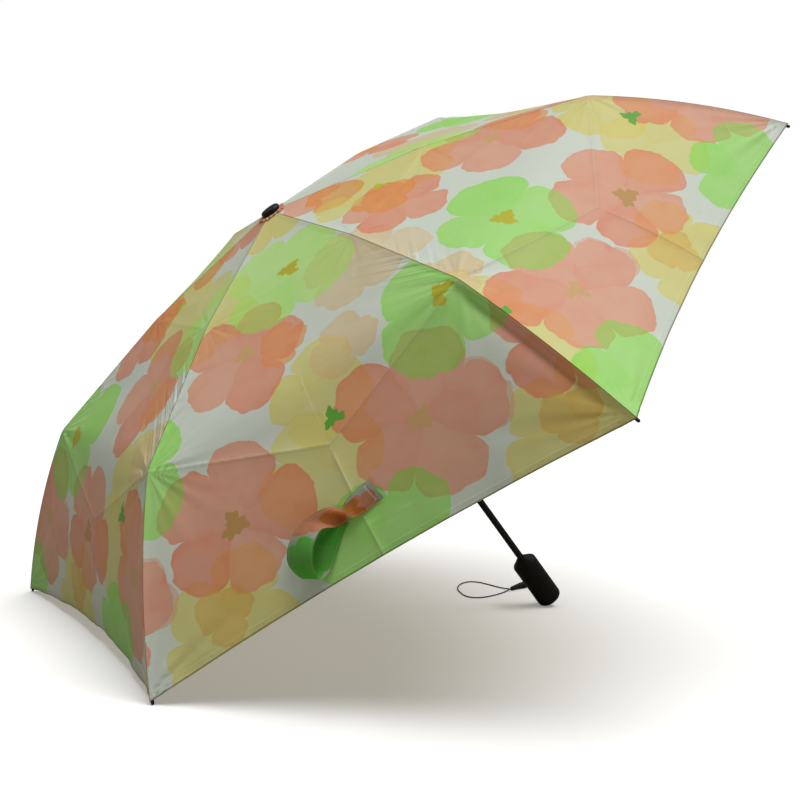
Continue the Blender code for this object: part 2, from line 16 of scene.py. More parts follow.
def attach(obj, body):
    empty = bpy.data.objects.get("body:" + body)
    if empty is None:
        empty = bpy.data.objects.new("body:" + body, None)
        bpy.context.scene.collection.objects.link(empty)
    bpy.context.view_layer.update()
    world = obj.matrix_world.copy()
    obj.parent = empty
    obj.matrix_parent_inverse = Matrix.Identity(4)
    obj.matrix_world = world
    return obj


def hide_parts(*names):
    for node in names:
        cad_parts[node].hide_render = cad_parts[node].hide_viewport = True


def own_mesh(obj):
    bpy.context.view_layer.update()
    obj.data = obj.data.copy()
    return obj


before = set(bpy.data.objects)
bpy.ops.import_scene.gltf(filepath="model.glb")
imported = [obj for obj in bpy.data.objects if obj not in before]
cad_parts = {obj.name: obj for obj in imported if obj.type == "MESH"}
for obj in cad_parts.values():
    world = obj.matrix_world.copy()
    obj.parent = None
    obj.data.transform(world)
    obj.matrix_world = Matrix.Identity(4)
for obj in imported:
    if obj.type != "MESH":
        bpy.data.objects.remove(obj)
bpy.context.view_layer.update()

# The canopy's plan, as in the part: (distance from the shaft, height) in a rib's plane
RIBS = 6
FIRST_RIB_ANGLE = math.radians(30)
RIB_STEP = 2 * math.pi / RIBS
HALF_STEP = RIB_STEP / 2
HANDLE_RADIUS = 0.01425
HANDLE_EDGE = 0.0065
RIDGE_TOP = Vector((0.0130, 0.5555))
RIDGE_KNUCKLE = Vector((0.1700, 0.5279))
RIDGE_SHOULDER = Vector((0.3348, 0.4809))
TIP_BALL = Vector((0.4888, 0.3405))
HEM_MIDDLE = Vector((0.4095, 0.3457))
TIP_RADIUS = 0.0016
RIDGE_LIFT = 0.0046
SHOULDER_OFFSET = -0.0020
# The cloth's corner at the tip, and where on the outer rib's arch the tip's direction is taken
CORNER_LIFT = 0.0030
CORNER_BACK = 0.0015
OUTER_BOW = 0.0065
TIP_AXIS_FROM = 0.95
# Hinges of the top and middle ribs, and the stretchers
TOP_PIVOT = Vector((0.0090, 0.5516))
KNUCKLE_DROP = 0.0021
STRETCHER_PIVOT_RADIUS = 0.0089
STRETCHER_REACH = 0.072
STRETCHER_LENGTH = 0.083

# The ruffled collar under the top cap
COLLAR_BORE = 0.0040
COLLAR_FLAT = 0.0106
COLLAR_RADIUS = 0.0156
COLLAR_HEIGHT = 0.5563
COLLAR_ROWS = 14
COLLAR_COLUMNS = 180
RUFFLE_HEIGHT = 0.00045
RUFFLE_DROOP = 0.16
RUFFLE_LIFT = 0.0006

# Sewn ties between the canopy and each rib, as shares of each section's length
TIES = {"inner": (0.35, 0.70), "middle": (0.10, 0.50, 0.92), "outer": (0.12, 0.45, 0.78)}
# One tie: turns, steps in a turn, pitch, its middle beside the rib's, half width, slack and drop
TIE_TURNS = 3
TIE_STEPS = 20
TIE_PITCH = 0.0006
TIE_PLANE = 0.00085
TIE_HALF_WIDTH = 0.00105
TIE_SLACK = 0.0014
TIE_BELOW = 0.0013
TOP_RIB_RISE = 0.0025
THREAD_RADIUS = 0.00016
THREAD_SIDES = 6

# Rivet: the outline of one domed half, as distance from the pivot and from the rib's middle plane
RIVET_SIDES = 16
RIVET_OUTLINE = (
    (0.0, 0.00212),
    (0.00045, 0.00205),
    (0.00080, 0.00180),
    (0.00085, 0.00162),
    (0.00050, 0.00158),
)

# The wrist cord lies on the floor; its ferrule gathers the loop's two ends
CORD_RADIUS = 0.00075
CORD_POINTS = 60
ROUTE_STEPS = 20
FERRULE_THIN_END = Vector((0.2085, 0.0830, 0.0024))
FERRULE_FAT_END = Vector((0.2362, 0.0945, 0.0040))
FERRULE_STATIONS = 40
FERRULE_SIDES = 28
FERRULE_RADIUS = 0.0023
FERRULE_TAPER = 0.0017
FERRULE_END_RADIUS = 0.00095
FERRULE_BEND = 0.0004
FERRULE_RINGS_FROM = 0.60
FERRULE_RING_PITCH = 0.10
FERRULE_RING_HEIGHT = 0.00022
CORD_ROUTE = (
    (0.2085, 0.0148, 0.0160),
    (0.2110, 0.0190, 0.0155),
    (0.2200, 0.0300, 0.0080),
    (0.2300, 0.0430, 0.0016),
    (0.2400, 0.0600, 0.0008),
    (0.2480, 0.0790, 0.0009),
    (0.2465, 0.0925, 0.0022),
    (0.2400, 0.0961, 0.0040),
    (0.2362, 0.0945, 0.0040),
    (0.2224, 0.0888, 0.0032),
    (0.2085, 0.0830, 0.0024),
    (0.1980, 0.0768, 0.0011),
    (0.1868, 0.0697, 0.0008),
    (0.1687, 0.0608, 0.0008),
    (0.1526, 0.0568, 0.0008),
    (0.1425, 0.0635, 0.0008),
    (0.1420, 0.0800, 0.0008),
    (0.1500, 0.1080, 0.0008),
    (0.1660, 0.1320, 0.0008),
    (0.1830, 0.1420, 0.0008),
    (0.1930, 0.1350, 0.0008),
    (0.1985, 0.1190, 0.0008),
    (0.2025, 0.1020, 0.0009),
    (0.2053, 0.0905, 0.0015),
    (0.2073, 0.0849, 0.0022),
)

# Print: a repeating layout of large flowers, and where each gore is cut from it
PRINT_REPEAT = 0.350
GORE_SHIFT = {3: 0.055, 4: 0.142, 5: 0.0, 6: 0.235, 1: 0.300, 2: 0.110}

# Tints multiply the ground, so a value above 1 is more of that colour than the ground has
GROUND = (0.79, 0.87, 0.78)
PINK = (1.13, 0.59, 0.48)
ROSE = (1.04, 0.78, 0.70)
AMBER = (1.04, 0.80, 0.42)
ORANGE = (1.12, 0.64, 0.31)
YELLOW = (1.05, 0.94, 0.48)
TERRACOTTA = (1.12, 0.66, 0.40)
BEIGE = (1.06, 0.87, 0.68)
GREEN = (0.66, 1.04, 0.40)
PALE_GREEN = (0.83, 1.12, 0.50)
MUSTARD = (0.62, 0.60, 0.06)
OCHRE = (0.78, 0.50, 0.24)
BROWN = (0.66, 0.38, 0.15)
LEAF = (0.18, 0.52, 0.08)
LIME = (0.60, 0.66, 0.06)
# How much each flower hides those under it, and how far its outline wanders, broadly and finely
OPACITY = 0.45
NO_HEART = -0.01
WOBBLE = 0.016
FRINGE = 0.0014

# Each blossom: centre across and down the print, radius, petals, turn in degrees and colour, then
# its heart's colour and radius where it has a heart
BLOSSOMS = (
    (0.140, 0.020, 0.052, 4, 0, YELLOW),
    (0.026, 0.030, 0.050, 5, 24, PINK),
    (0.058, 0.142, 0.062, 4, 10, YELLOW),
    (-0.125, 0.195, 0.064, 4, 0, BEIGE),
    (-0.026, 0.166, 0.060, 5, 10, PINK, OCHRE, 0.009),
    (0.010, 0.078, 0.034, 3, 15, ORANGE),
    (-0.012, 0.150, 0.040, 3, 40, ORANGE),
    (-0.018, 0.100, 0.030, 3, 10, YELLOW),
    (0.014, 0.133, 0.005, 3, 10, LIME, LIME, 0.006),
    (0.150, 0.325, 0.058, 4, 20, YELLOW),
    (0.126, 0.392, 0.060, 4, 55, YELLOW),
    (-0.158, 0.286, 0.038, 3, 35, BEIGE),
    (-0.010, 0.482, 0.074, 5, 15, YELLOW),
    (0.092, 0.224, 0.076, 5, 24, PINK, OCHRE, 0.011),
    (0.134, 0.241, 0.030, 3, 60, TERRACOTTA),
    (0.032, 0.394, 0.080, 5, 24, PINK, BROWN, 0.013),
    (-0.124, 0.400, 0.082, 5, 24, PINK, OCHRE, 0.012),
    (-0.074, 0.410, 0.036, 3, 10, ROSE),
    (0.155, 0.138, 0.080, 4, 0, PALE_GREEN, MUSTARD, 0.011),
    (-0.058, 0.303, 0.080, 4, 0, GREEN, MUSTARD, 0.012),
    (-0.008, 0.466, 0.032, 3, 80, AMBER),
    (0.145, 0.486, 0.072, 5, 60, GREEN),
    (0.156, 0.353, 0.004, 3, 10, LEAF, LEAF, 0.011),
)

# The strap's own print runs along it from the sewn end, on a ground darker than the canopy's: painted shade
STRAP_SHADED_GROUND = (0.36, 0.39, 0.31)
STRAP_RED = (1.50, 0.66, 0.47)
STRAP_BROWN = (1.02, 0.55, 0.18)
STRAP_GREEN = (0.40, 1.08, 0.28)
STRAP_BLOSSOMS = (
    (0.006, 0.016, 0.016, 4, 0, STRAP_RED),
    (0.000, 0.034, 0.018, 5, 0, STRAP_BROWN),
    (-0.003, 0.056, 0.024, 4, 20, STRAP_RED),
    (0.004, 0.046, 0.012, 3, 50, STRAP_BROWN),
    (0.003, 0.100, 0.024, 5, 50, STRAP_GREEN),
    (-0.006, 0.118, 0.018, 3, 10, STRAP_GREEN),
    (0.004, 0.150, 0.028, 4, 70, STRAP_GREEN),
    (-0.004, 0.180, 0.030, 5, 30, STRAP_GREEN),
)
STRAP_SEAM = 0.006

# Canopy mesh: steps in the ridge's profile, and how far its kinks are rounded at the ridge and
# beyond it
STRAIGHT_STEPS = 40
ARCH_STEPS = 60
SOFT_STEPS = 4
SOFT_REACH = (0.006, 0.030)
# Steps along and in share over which a slope is measured, on the plain and the finished surface
PLAIN_STEPS = (0.0004, 0.004)
CLOTH_STEPS = (0.0008, 0.006)
# Corners of a grid's cell, as steps down and right
CELL = ((0, 0), (1, 0), (1, 1), (0, 1))
ROWS = {"inner": 38, "middle": 76, "outer": 64}
COLUMNS = 50
COLUMN_CROWDING = 1.7

# Relief of the stretched cloth. The cloth lies over a rib as far as RIB_COVER, and dips most at
# TUCK_WIDTH beyond it
OUTER_FROM = 0.29
OUTER_BLEND = 0.05
TUCK_WIDTH = 0.007
RIB_COVER = 0.0024
INNER_TUCK = 0.0006
OUTER_TUCK = 0.0016
SAG = 0.012
# Gores whose cloth is tucked deeper under one ridge: (gore, side of the rib) and depth
TUCKS = {(4, -1): 0.0055, (3, -1): 0.0035, (6, -1): 0.0035, (1, 1): 0.0025, (2, -1): 0.0035}
# Gores whose cloth is pleated more beside one ridge: (gore, side of the rib) and how much
PLEATED = {(4, 1): 1.0, (3, -1): 1.0, (6, 1): 0.7, (1, -1): 0.7}
# Fold lines: a wide V whose point is FOLD_DOWN from the shaft, and one across near the crown
FOLD_DOWN = 0.376
FOLD_SLOPE = 0.44
FOLD_STRETCH = math.hypot(1, FOLD_SLOPE)
CROWN_FOLD_DOWN = 0.152
FOLD_HEIGHT = 0.0013
MIDDLE_FOLD_HEIGHT = 0.0012
CROWN_FOLD_HEIGHT = 0.0005
# Pulls at the rib joints and the tip: down from the shaft, half the gore's width, height, reach
PULLS = (
    (0.152, 0.085, 0.0010, 0.030),
    (0.302, 0.167, 0.0018, 0.045),
    (0.488, 0.243, 0.0018, 0.070),
)
# Gathers and pleats along the ridge, the hem's wave, and unevenness all over
SEAM_RIPPLE = 330
GATHER_HEIGHT = 0.0005
GATHERS_AT = (0.235, 0.055)
PLEAT_HEIGHT = 0.0022
PLEATS_AT = (0.245, 0.042)
PLEAT_SLANT = 0.9
WAVE_HEIGHT = 0.0011
UNEVEN_HEIGHT = 0.0007

# Turned-up hem, stitches, weave, and the share of light that comes through the cloth
HEM_FOLD = 0.0050
HEM_GAP = 0.0006
HEM_SLANT = 1.3
HEM_EDGE = 0.0005
HEM_STITCH = 0.0055
STITCH_PITCH = 0.0032
WEAVE_PITCH = 0.00035
THROUGH_LIGHT = 0.16
# A distance from the ridge at which a piece that has no ridge shows no seam
NO_RIDGE = 0.1

# Each half's spread from its ridge is measured at the weighted place between its section's two ends
SPREAD_WEIGHTS = (0.2, 0.8)

# Tie strap: stations along its middle, as across and down the gore, half width, direction of its
# width in degrees, height above the cloth, and how much one edge stands above the other
STRAP_GORE = 4
STRAP_WIDTH = 0.024
STRAP_ROWS = 90
STRAP_COLUMNS = 10
STRAP_CROWN = 0.0016
STRAP_CLEARANCE = 0.0012
STRAP_HEM_SHIFT = 0.0034
STRAP_SEAM_SHIFT = 0.0052
STRAP_STATIONS = (
    (0.021, 0.437, 0.0115, 78, 0.0014, 0.0000),
    (0.008, 0.439, 0.0115, 72, 0.0018, 0.0000),
    (-0.004, 0.442, 0.0105, 70, 0.0030, 0.0010),
    (-0.012, 0.443, 0.0080, 76, 0.0055, 0.0035),
    (-0.021, 0.441, 0.0105, 76, 0.0060, -0.0030),
    (-0.031, 0.440, 0.0115, 60, 0.0080, -0.0030),
    (-0.044, 0.440, 0.0120, 38, 0.0130, 0.0020),
    (-0.055, 0.449, 0.0140, 28, 0.0180, 0.0050),
    (-0.062, 0.461, 0.0145, 24, 0.0190, 0.0060),
    (-0.065, 0.472, 0.0120, 27, 0.0150, 0.0050),
    (-0.064, 0.481, 0.0085, 31, 0.0095, 0.0030),
    (-0.056, 0.477, 0.0105, 31, 0.0040, 0.0010),
    (-0.046, 0.465, 0.0120, 33, 0.0022, 0.0000),
    (-0.033, 0.452, 0.0115, 34, 0.0018, 0.0000),
    (-0.022, 0.446, 0.0100, 36, 0.0016, 0.0000),
)

# Camera fitted to the photo: place, heading, dip and roll in degrees, lens in millimetres
CAMERA_PLACE = (-0.7163, -1.5677, 0.3978)
CAMERA_HEADING = 25.04
CAMERA_DIP = 5.216
CAMERA_ROLL = 1.685
CAMERA_LENS = 71.96
CAMERA_NEAREST = 0.02

# Studio
FADE_START = 1.2
FADE_END = 6.0
FLOOR_RINGS = (0.0, 1.0, 2.5, 5.0, FADE_END)
FLOOR_SIDES = 96
PAPER = (0.94, 0.94, 0.95)
PAPER_GLOW = 0.22
PAPER_BOUNCE = (0.37, 0.355, 0.31)
SKY_STRENGTH = 0.175
SKY_LIGHT = (1.0, 0.96, 0.88)
SUN_STRENGTH = 2.6
SUN_WIDTH = 50
SUN_FROM = (0.15, -0.13, 0.97)


# ---- geometry of the canopy


def across(direction):
    """A direction of a rib's plane, turned a quarter turn outwards."""
    return Vector((-direction.y, direction.x))


def bowed(start, end, bow, share):
    """A point on a shallow arch between two points."""
    direction = (end - start).normalized()
    return start.lerp(end, share) + across(direction) * bow * 4 * share * (1 - share)


def shoulder_pivot():
    """The hinge between the middle and outer ribs, below the ridge."""
    direction = (RIDGE_SHOULDER - RIDGE_KNUCKLE).normalized()
    return RIDGE_SHOULDER - (RIDGE_LIFT - SHOULDER_OFFSET) * across(direction)


def tip_axis():
    """The tip's own direction, which is the end of the outer rib's arch."""
    return (TIP_BALL - bowed(shoulder_pivot(), TIP_BALL, OUTER_BOW, TIP_AXIS_FROM)).normalized()


def ridge_corner():
    """The end of the ridge, where the cloth's corner meets the tip."""
    direction = tip_axis()
    return TIP_BALL - CORNER_BACK * direction + CORNER_LIFT * across(direction)


def lengths_along(flat):
    """Distance walked along a polyline, at each of its points."""
    return np.concatenate(([0], np.cumsum(np.hypot(*np.diff(flat, axis=0).T))))


def ridge_profile():
    """The ridge as a fine polyline: rows of distance along it, distance from the shaft and height."""
    straight = [i / STRAIGHT_STEPS for i in range(STRAIGHT_STEPS)]
    points = [RIDGE_TOP.lerp(RIDGE_KNUCKLE, share) for share in straight]
    points += [RIDGE_KNUCKLE.lerp(RIDGE_SHOULDER, share) for share in straight]
    corner = ridge_corner()
    points += [bowed(RIDGE_SHOULDER, corner, OUTER_BOW, i / ARCH_STEPS) for i in range(ARCH_STEPS + 1)]
    flat = np.array([(p.x, p.y) for p in points])
    return np.column_stack((lengths_along(flat), flat))


PROFILE = ridge_profile()
KNUCKLE_AT = PROFILE[STRAIGHT_STEPS, 0]
SHOULDER_AT = PROFILE[2 * STRAIGHT_STEPS, 0]
END_AT = PROFILE[-1, 0]
SECTION_ENDS = {
    "inner": (0.0, KNUCKLE_AT),
    "middle": (KNUCKLE_AT, SHOULDER_AT),
    "outer": (SHOULDER_AT, END_AT),
}


def gore_profile():
    """Distance from the shaft along a gore's middle line, for each row of the ridge's profile."""
    flat = PROFILE[:, 1:] * np.array((math.cos(HALF_STEP), 1.0))
    return RIDGE_TOP.x + lengths_along(flat)


GORE_LINE = gore_profile()


def resting_matrix():
    """The tilt that puts two tips and the handle's rounded rim on the floor, as in the part."""
    rim = Vector((HANDLE_EDGE - HANDLE_RADIUS, HANDLE_EDGE))
    ball = Vector((-TIP_BALL.x * math.cos(HALF_STEP), TIP_BALL.y))
    span = ball - rim
    tilt = math.pi - math.asin((TIP_RADIUS - HANDLE_EDGE) / span.length) - math.atan2(span.y, span.x)
    lift = HANDLE_EDGE - rim.x * math.sin(tilt) - rim.y * math.cos(tilt)
    place = Matrix.Translation((TIP_BALL.y * math.sin(tilt), 0, lift))
    return place @ Matrix.Rotation(-tilt, 4, "Y")


REST = resting_matrix()
REST_ARRAY = np.array(REST)


def to_world(points):
    """Points of the umbrella's frame in the row frame."""
    return points @ REST_ARRAY[:3, :3].T + REST_ARRAY[:3, 3]


def rib_turn(rib):
    """The angle of a rib's plane about the shaft."""
    return FIRST_RIB_ANGLE + (rib - 1) * RIB_STEP


def ridge_at(along):
    """Distance from the shaft and height of the ridge, at distances along it."""
    return np.interp(along, PROFILE[:, 0], PROFILE[:, 1]), np.interp(along, PROFILE[:, 0], PROFILE[:, 2])


def softened(along, share):
    """The ridge's profile with its kinks rounded, more so towards the gore's middle."""
    reach = SOFT_REACH[0] + SOFT_REACH[1] * share**0.7
    radius, height = np.zeros_like(along), np.zeros_like(along)
    count = 2 * SOFT_STEPS + 1
    for i in range(-SOFT_STEPS, SOFT_STEPS + 1):
        step = reach * i / SOFT_STEPS
        moved, back = np.clip(along + step, 0, END_AT), np.clip(along - step, 0, END_AT)
        kept = (along + np.abs(step) <= END_AT) & (along - np.abs(step) >= 0)
        one, other = ridge_at(np.where(kept, moved, along)), ridge_at(np.where(kept, back, along))
        radius += (one[0] + other[0]) / (2 * count)
        height += (one[1] + other[1]) / (2 * count)
    return radius, height


def ripple(value, seed):
    """A smooth wandering number between -1 and 1, from sines of unrelated lengths."""
    return (
        np.sin(value * 1.00 + seed * 2.4)
        + 0.6 * np.sin(value * 1.73 + seed * 5.1)
        + 0.4 * np.sin(value * 2.91 + seed * 1.3)
    ) / 2.0


def fading(distance, reach):
    """1 at no distance, falling away over a reach."""
    return np.exp(-distance / reach)


def hump(value, middle, width):
    """1 at a middle value, falling away on both sides."""
    return np.exp(-(((value - middle) / width) ** 2))


def relief(gore, lat, down, from_ridge, to_hem, side):
    """How far the stretched cloth stands off its plain surface, outwards."""
    half = from_ridge + np.abs(lat)
    outer = np.clip((down - OUTER_FROM) / OUTER_BLEND, 0, 1)
    outer = outer * outer * (3 - 2 * outer)
    # the rib holds the ridge up, and the cloth drops beside it
    tuck = -(INNER_TUCK + OUTER_TUCK * outer) * (1 - fading(from_ridge, TUCK_WIDTH))
    beside = np.maximum(from_ridge - RIB_COVER, 0) / TUCK_WIDTH
    near_hem = np.clip(to_hem / 0.05, 0, 1)
    tuck -= TUCKS.get((gore, side), 0.0) * outer * near_hem * beside**2 * np.exp(2 * (1 - beside))
    # slack between the ribs
    sag = -SAG * half * np.sin(np.pi * np.clip(from_ridge / np.maximum(2 * half, 1e-6), 0, 1))
    # fold lines left by the folded state: a wide V between the rib joints, and the gore's middle
    crease_down = FOLD_DOWN - FOLD_SLOPE * np.abs(lat)
    crease = (down - crease_down) / FOLD_STRETCH
    off_ridge = np.clip(from_ridge / 0.02, 0, 1)
    below = np.clip((down - crease_down) / 0.02, 0, 1)
    fold = FOLD_HEIGHT * fading(np.abs(crease), 0.007) * off_ridge
    fold += MIDDLE_FOLD_HEIGHT * fading(np.abs(lat), 0.006) * below
    fold += CROWN_FOLD_HEIGHT * fading(np.abs(down - CROWN_FOLD_DOWN), 0.005) * off_ridge
    # pulls that spread from the rib joints and the tips
    pull = np.zeros_like(lat)
    for centre_down, centre_half, size, reach in PULLS:
        sideways, lengthways = centre_half - np.abs(lat), down - centre_down
        distance = np.hypot(sideways, lengthways) + 1e-4
        angle = np.arctan2(lengthways, sideways)
        fan = ripple(angle * 9.0, gore * 1.7 + side + centre_down * 10)
        pull += size * fan * fading(distance, reach) * (1 - fading(distance, 0.012))
    # small gathers where the cloth is sewn along the ridge
    gathers = GATHER_HEIGHT * ripple(down * SEAM_RIPPLE, gore * 1.9 + side) * fading(from_ridge, 0.016)
    gathers *= 0.35 + 0.65 * hump(down, *GATHERS_AT)
    # short slanting pleats where the seam is eased in beside the knuckle
    slanted = (down + PLEAT_SLANT * from_ridge) * SEAM_RIPPLE
    pleats = PLEAT_HEIGHT * ripple(slanted, gore + side) * fading(from_ridge, 0.018)
    pleats *= hump(down, *PLEATS_AT) * (1 - fading(from_ridge, 0.003))
    pleats *= PLEATED.get((gore, side), 0.35)
    # slack near the hem, and a soft unevenness all over
    wave = WAVE_HEIGHT * ripple(lat * 62, gore * 3.1) * fading(to_hem, 0.030)
    uneven = UNEVEN_HEIGHT * ripple(lat * 33 + down * 21, gore + 0.7)
    uneven = uneven * ripple(down * 40 - lat * 12, gore * 2.2)
    ramp = 1 - fading(from_ridge, 0.012)
    start = np.clip((down - RIDGE_TOP.x) / 0.03, 0, 1)
    return (tuck + sag + pleats + fold * start + (pull + gathers + wave + uneven) * ramp) * start


def gore_of(rib, side):
    """The gore on a rib's side: gore k lies between ribs k and k + 1."""
    return rib if side > 0 else (rib - 2) % RIBS + 1


def plain_cloth(along, share, side):
    """The plain stretched surface beside rib 0's plane, in the umbrella's frame."""
    radius, height = softened(along, share)
    turn = side * HALF_STEP
    middle = radius * math.cos(HALF_STEP)
    straight = np.stack(
        (
            radius + share * (middle * math.cos(turn) - radius),
            share * middle * math.sin(turn),
            height,
        ),
        axis=-1,
    )
    end = ridge_corner()
    hem = HEM_MIDDLE - Vector((end.x * math.cos(HALF_STEP), end.y))
    section = np.clip((along - SHOULDER_AT) / (END_AT - SHOULDER_AT), 0, 1)
    pull = (2 * share - share**2) * section**1.5
    return straight + pull[..., None] * np.array((hem.x * math.cos(turn), hem.x * math.sin(turn), hem.y))


def gore_places(along, share, side):
    """Places in a gore: across from its middle, down from the shaft, from the ridge and to the hem."""
    half = ridge_at(along)[0] * math.sin(HALF_STEP)
    down = np.interp(along, PROFILE[:, 0], GORE_LINE)
    return -side * (1 - share) * half, down, share * half, GORE_LINE[-1] - down


def normals_of(surface, along, share, side, steps):
    """Outward unit normals of a surface that is given by distance along and share."""
    low, high = np.clip(share - steps[1], 0, 1), np.clip(share + steps[1], 0, 1)
    one = surface(along, high) - surface(along, low)
    start, stop = np.clip(along - steps[0], 0, END_AT), np.clip(along + steps[0], 0, END_AT)
    other = surface(stop, share) - surface(start, share)
    normal = np.cross(other, one) * side
    return normal / np.linalg.norm(normal, axis=-1, keepdims=True)


def slopes(along, share, side):
    """Unit normal of the plain surface, pointing outwards."""
    return normals_of(lambda a, s: plain_cloth(a, s, side), along, share, side, PLAIN_STEPS)


def cloth(rib, along, share, side):
    """Points of the finished canopy beside a rib, in that rib's own turned frame."""
    lat, down, from_ridge, to_hem = gore_places(along, share, side)
    lift = relief(gore_of(rib, side), lat, down, from_ridge, to_hem, side)
    return plain_cloth(along, share, side) + slopes(along, share, side) * lift[..., None]


def cloth_normals(rib, along, share, side):
    """Unit normal of the finished surface, pointing outwards."""
    return normals_of(lambda a, s: cloth(rib, a, s, side), along, share, side, CLOTH_STEPS)


def turned_about_shaft(points, rib):
    """Points beside rib 0's plane, moved beside another rib's."""
    return points @ np.array(Matrix.Rotation(rib_turn(rib), 3, "Z")).T


# ---- building objects


def new_object(name, mesh):
    """A linked object with this mesh, curve or lamp."""
    made = bpy.data.objects.new(name, mesh)
    bpy.context.scene.collection.objects.link(made)
    return made


def grid_faces(rows, columns, order=CELL, closed=False):
    """Faces of a grid of points, each with its corners as steps down and right from its first."""
    width = columns if closed else columns + 1
    return [
        tuple((row + down) * width + (column + right) % width for down, right in order)
        for row in range(rows)
        for column in range(columns)
    ]


def cloth_mesh(name, verts, faces, layers, finish, normals=None):
    """A smooth mesh with the three UV layers that the printed cloth reads, a pair for each vertex."""
    mesh = bpy.data.meshes.new(name)
    mesh.from_pydata(verts, [], faces)
    corners = np.empty(len(mesh.loops), dtype=np.int64)
    mesh.loops.foreach_get("vertex_index", corners)
    for layer_name, values in zip(("print", "gore", "edge"), layers):
        layer = mesh.uv_layers.new(name=layer_name)
        layer.data.foreach_set("uv", values[corners].astype(np.float32).ravel())
    mesh.materials.append(finish)
    mesh.shade_smooth()
    if normals is not None:
        mesh.normals_split_custom_set(normals[corners].tolist())
    return mesh


def round_ring(body, centre, one, other, radius, sides):
    """A ring of vertices round a point, in the plane of two directions."""
    angles = [2 * math.pi * i / sides for i in range(sides)]
    return [body.verts.new(centre + radius * (math.cos(a) * one + math.sin(a) * other)) for a in angles]


def join_rings(body, rings, closed=False):
    """Faces between each ring of vertices and the next; a ring may be a single vertex."""
    for low, high in zip(rings, rings[1:] + (rings[:1] if closed else [])):
        sides = max(len(low), len(high))
        for i in range(sides):
            j = (i + 1) % sides
            corners = (low[i % len(low)], low[j % len(low)], high[j % len(high)], high[i % len(high)])
            body.faces.new(list(dict.fromkeys(corners)))


def from_bmesh(name, body, finish):
    """An object made of a bmesh, smooth but for its sharp edges."""
    bmesh.ops.recalc_face_normals(body, faces=body.faces)
    mesh = bpy.data.meshes.new(name)
    body.to_mesh(mesh)
    body.free()
    mesh.materials.append(finish)
    mesh.shade_smooth()
    mesh.set_sharp_from_angle(angle=math.radians(50))
    return new_object(name, mesh)


def with_hem(points, normal, lat, down, from_ridge, to_hem):
    """The same grids with three more rows, for the hem turned up under the cloth."""
    inward = points[-2] - points[-1]
    inward /= np.linalg.norm(inward, axis=-1, keepdims=True)
    below, edge = -normal[-1], points[-1]
    turn_row = edge + below * HEM_GAP / 2 - inward * HEM_GAP / 2
    back_row = edge + below * HEM_GAP * HEM_SLANT + inward * HEM_FOLD
    grids = (
        (points, (turn_row, edge + below * HEM_GAP, back_row)),
        (normal, (-inward, below, below)),
        (lat, (lat[-1], lat[-1], lat[-1])),
        (down, (down[-1] + HEM_GAP, down[-1], down[-1] - HEM_FOLD)),
        (from_ridge, (from_ridge[-1], from_ridge[-1], from_ridge[-1])),
        (to_hem, (to_hem[-1], to_hem[-1] + HEM_EDGE, to_hem[-1] + HEM_FOLD)),
    )
    return [np.concatenate(grid) for grid in grids]


def canopy_piece(name, rib, section, side, finish):
    """The cloth on one side of a rib segment, from its ridge to the gore's middle."""
    along = np.linspace(*SECTION_ENDS[section], ROWS[section] + 1)
    share = np.linspace(0, 1, COLUMNS + 1) ** COLUMN_CROWDING
    place = np.meshgrid(along, share, indexing="ij")
    grids = [cloth(rib, *place, side), cloth_normals(rib, *place, side), *gore_places(*place, side)]
    if section == "outer":
        grids = with_hem(*grids)
    points, normal, lat, down, from_ridge, to_hem = grids
    verts = to_world(turned_about_shaft(points, rib))
    normal = turned_about_shaft(normal, rib) @ REST_ARRAY[:3, :3].T
    pairs = ((lat + GORE_SHIFT[gore_of(rib, side)], down), (lat, down), (from_ridge, to_hem))
    layers = [np.column_stack([part.ravel() for part in pair]) for pair in pairs]
    faces = grid_faces(len(points) - 1, COLUMNS, CELL if side > 0 else CELL[::-1])
    verts, normal = verts.reshape(-1, 3).tolist(), normal.reshape(-1, 3)
    return new_object(name, cloth_mesh(name, verts, faces, layers, finish, normal))


def gathering(rib, section, side):
    """The spread from a section's ridge towards the gore's middle, square to the ridge, and a point of that
    ridge.
    """
    first, last = SECTION_ENDS[section]
    start, stop = ridge_at(first), ridge_at(last)
    chord = np.array((stop[0] - start[0], 0.0, stop[1] - start[1]))
    chord /= np.linalg.norm(chord)
    along = np.array([first * SPREAD_WEIGHTS[0] + last * SPREAD_WEIGHTS[1]])
    middle, ridge = (plain_cloth(along, np.array([share]), side)[0] for share in (1.0, 0.0))
    spread = middle - ridge
    spread -= chord * spread.dot(chord)
    anchor = np.array(((start[0] + stop[0]) / 2, 0.0, (start[1] + stop[1]) / 2))
    ends = to_world(turned_about_shaft(np.array([anchor, anchor + spread]), rib))
    return Vector(ends[1] - ends[0]), Vector(ends[0])


def pivot_of(section):
    """The hinge of the rib that carries a section, in the rib's plane."""
    direction = (RIDGE_SHOULDER - RIDGE_KNUCKLE).normalized()
    return {
        "inner": TOP_PIVOT,
        "middle": RIDGE_KNUCKLE - KNUCKLE_DROP * across(direction),
        "outer": shoulder_pivot(),
    }[section]


CARRIERS = {"inner": "top_rib", "middle": "middle_rib", "outer": "outer_rib"}


def build_canopy(finish):
    """Every section of cloth, a half on each side of its rib."""
    for section in SECTION_ENDS:
        for rib in range(1, RIBS + 1):
            carrier = f"{CARRIERS[section]}_{rib}"
            for side, word in ((-1, "left"), (1, "right")):
                made = canopy_piece(f"cloth_{section}_{rib}_{word}", rib, section, side, finish)
                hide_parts(f"canopy_{section}_{rib}")
                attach(made, carrier)
                axis, anchor = gathering(rib, section, side)
                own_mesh(made)


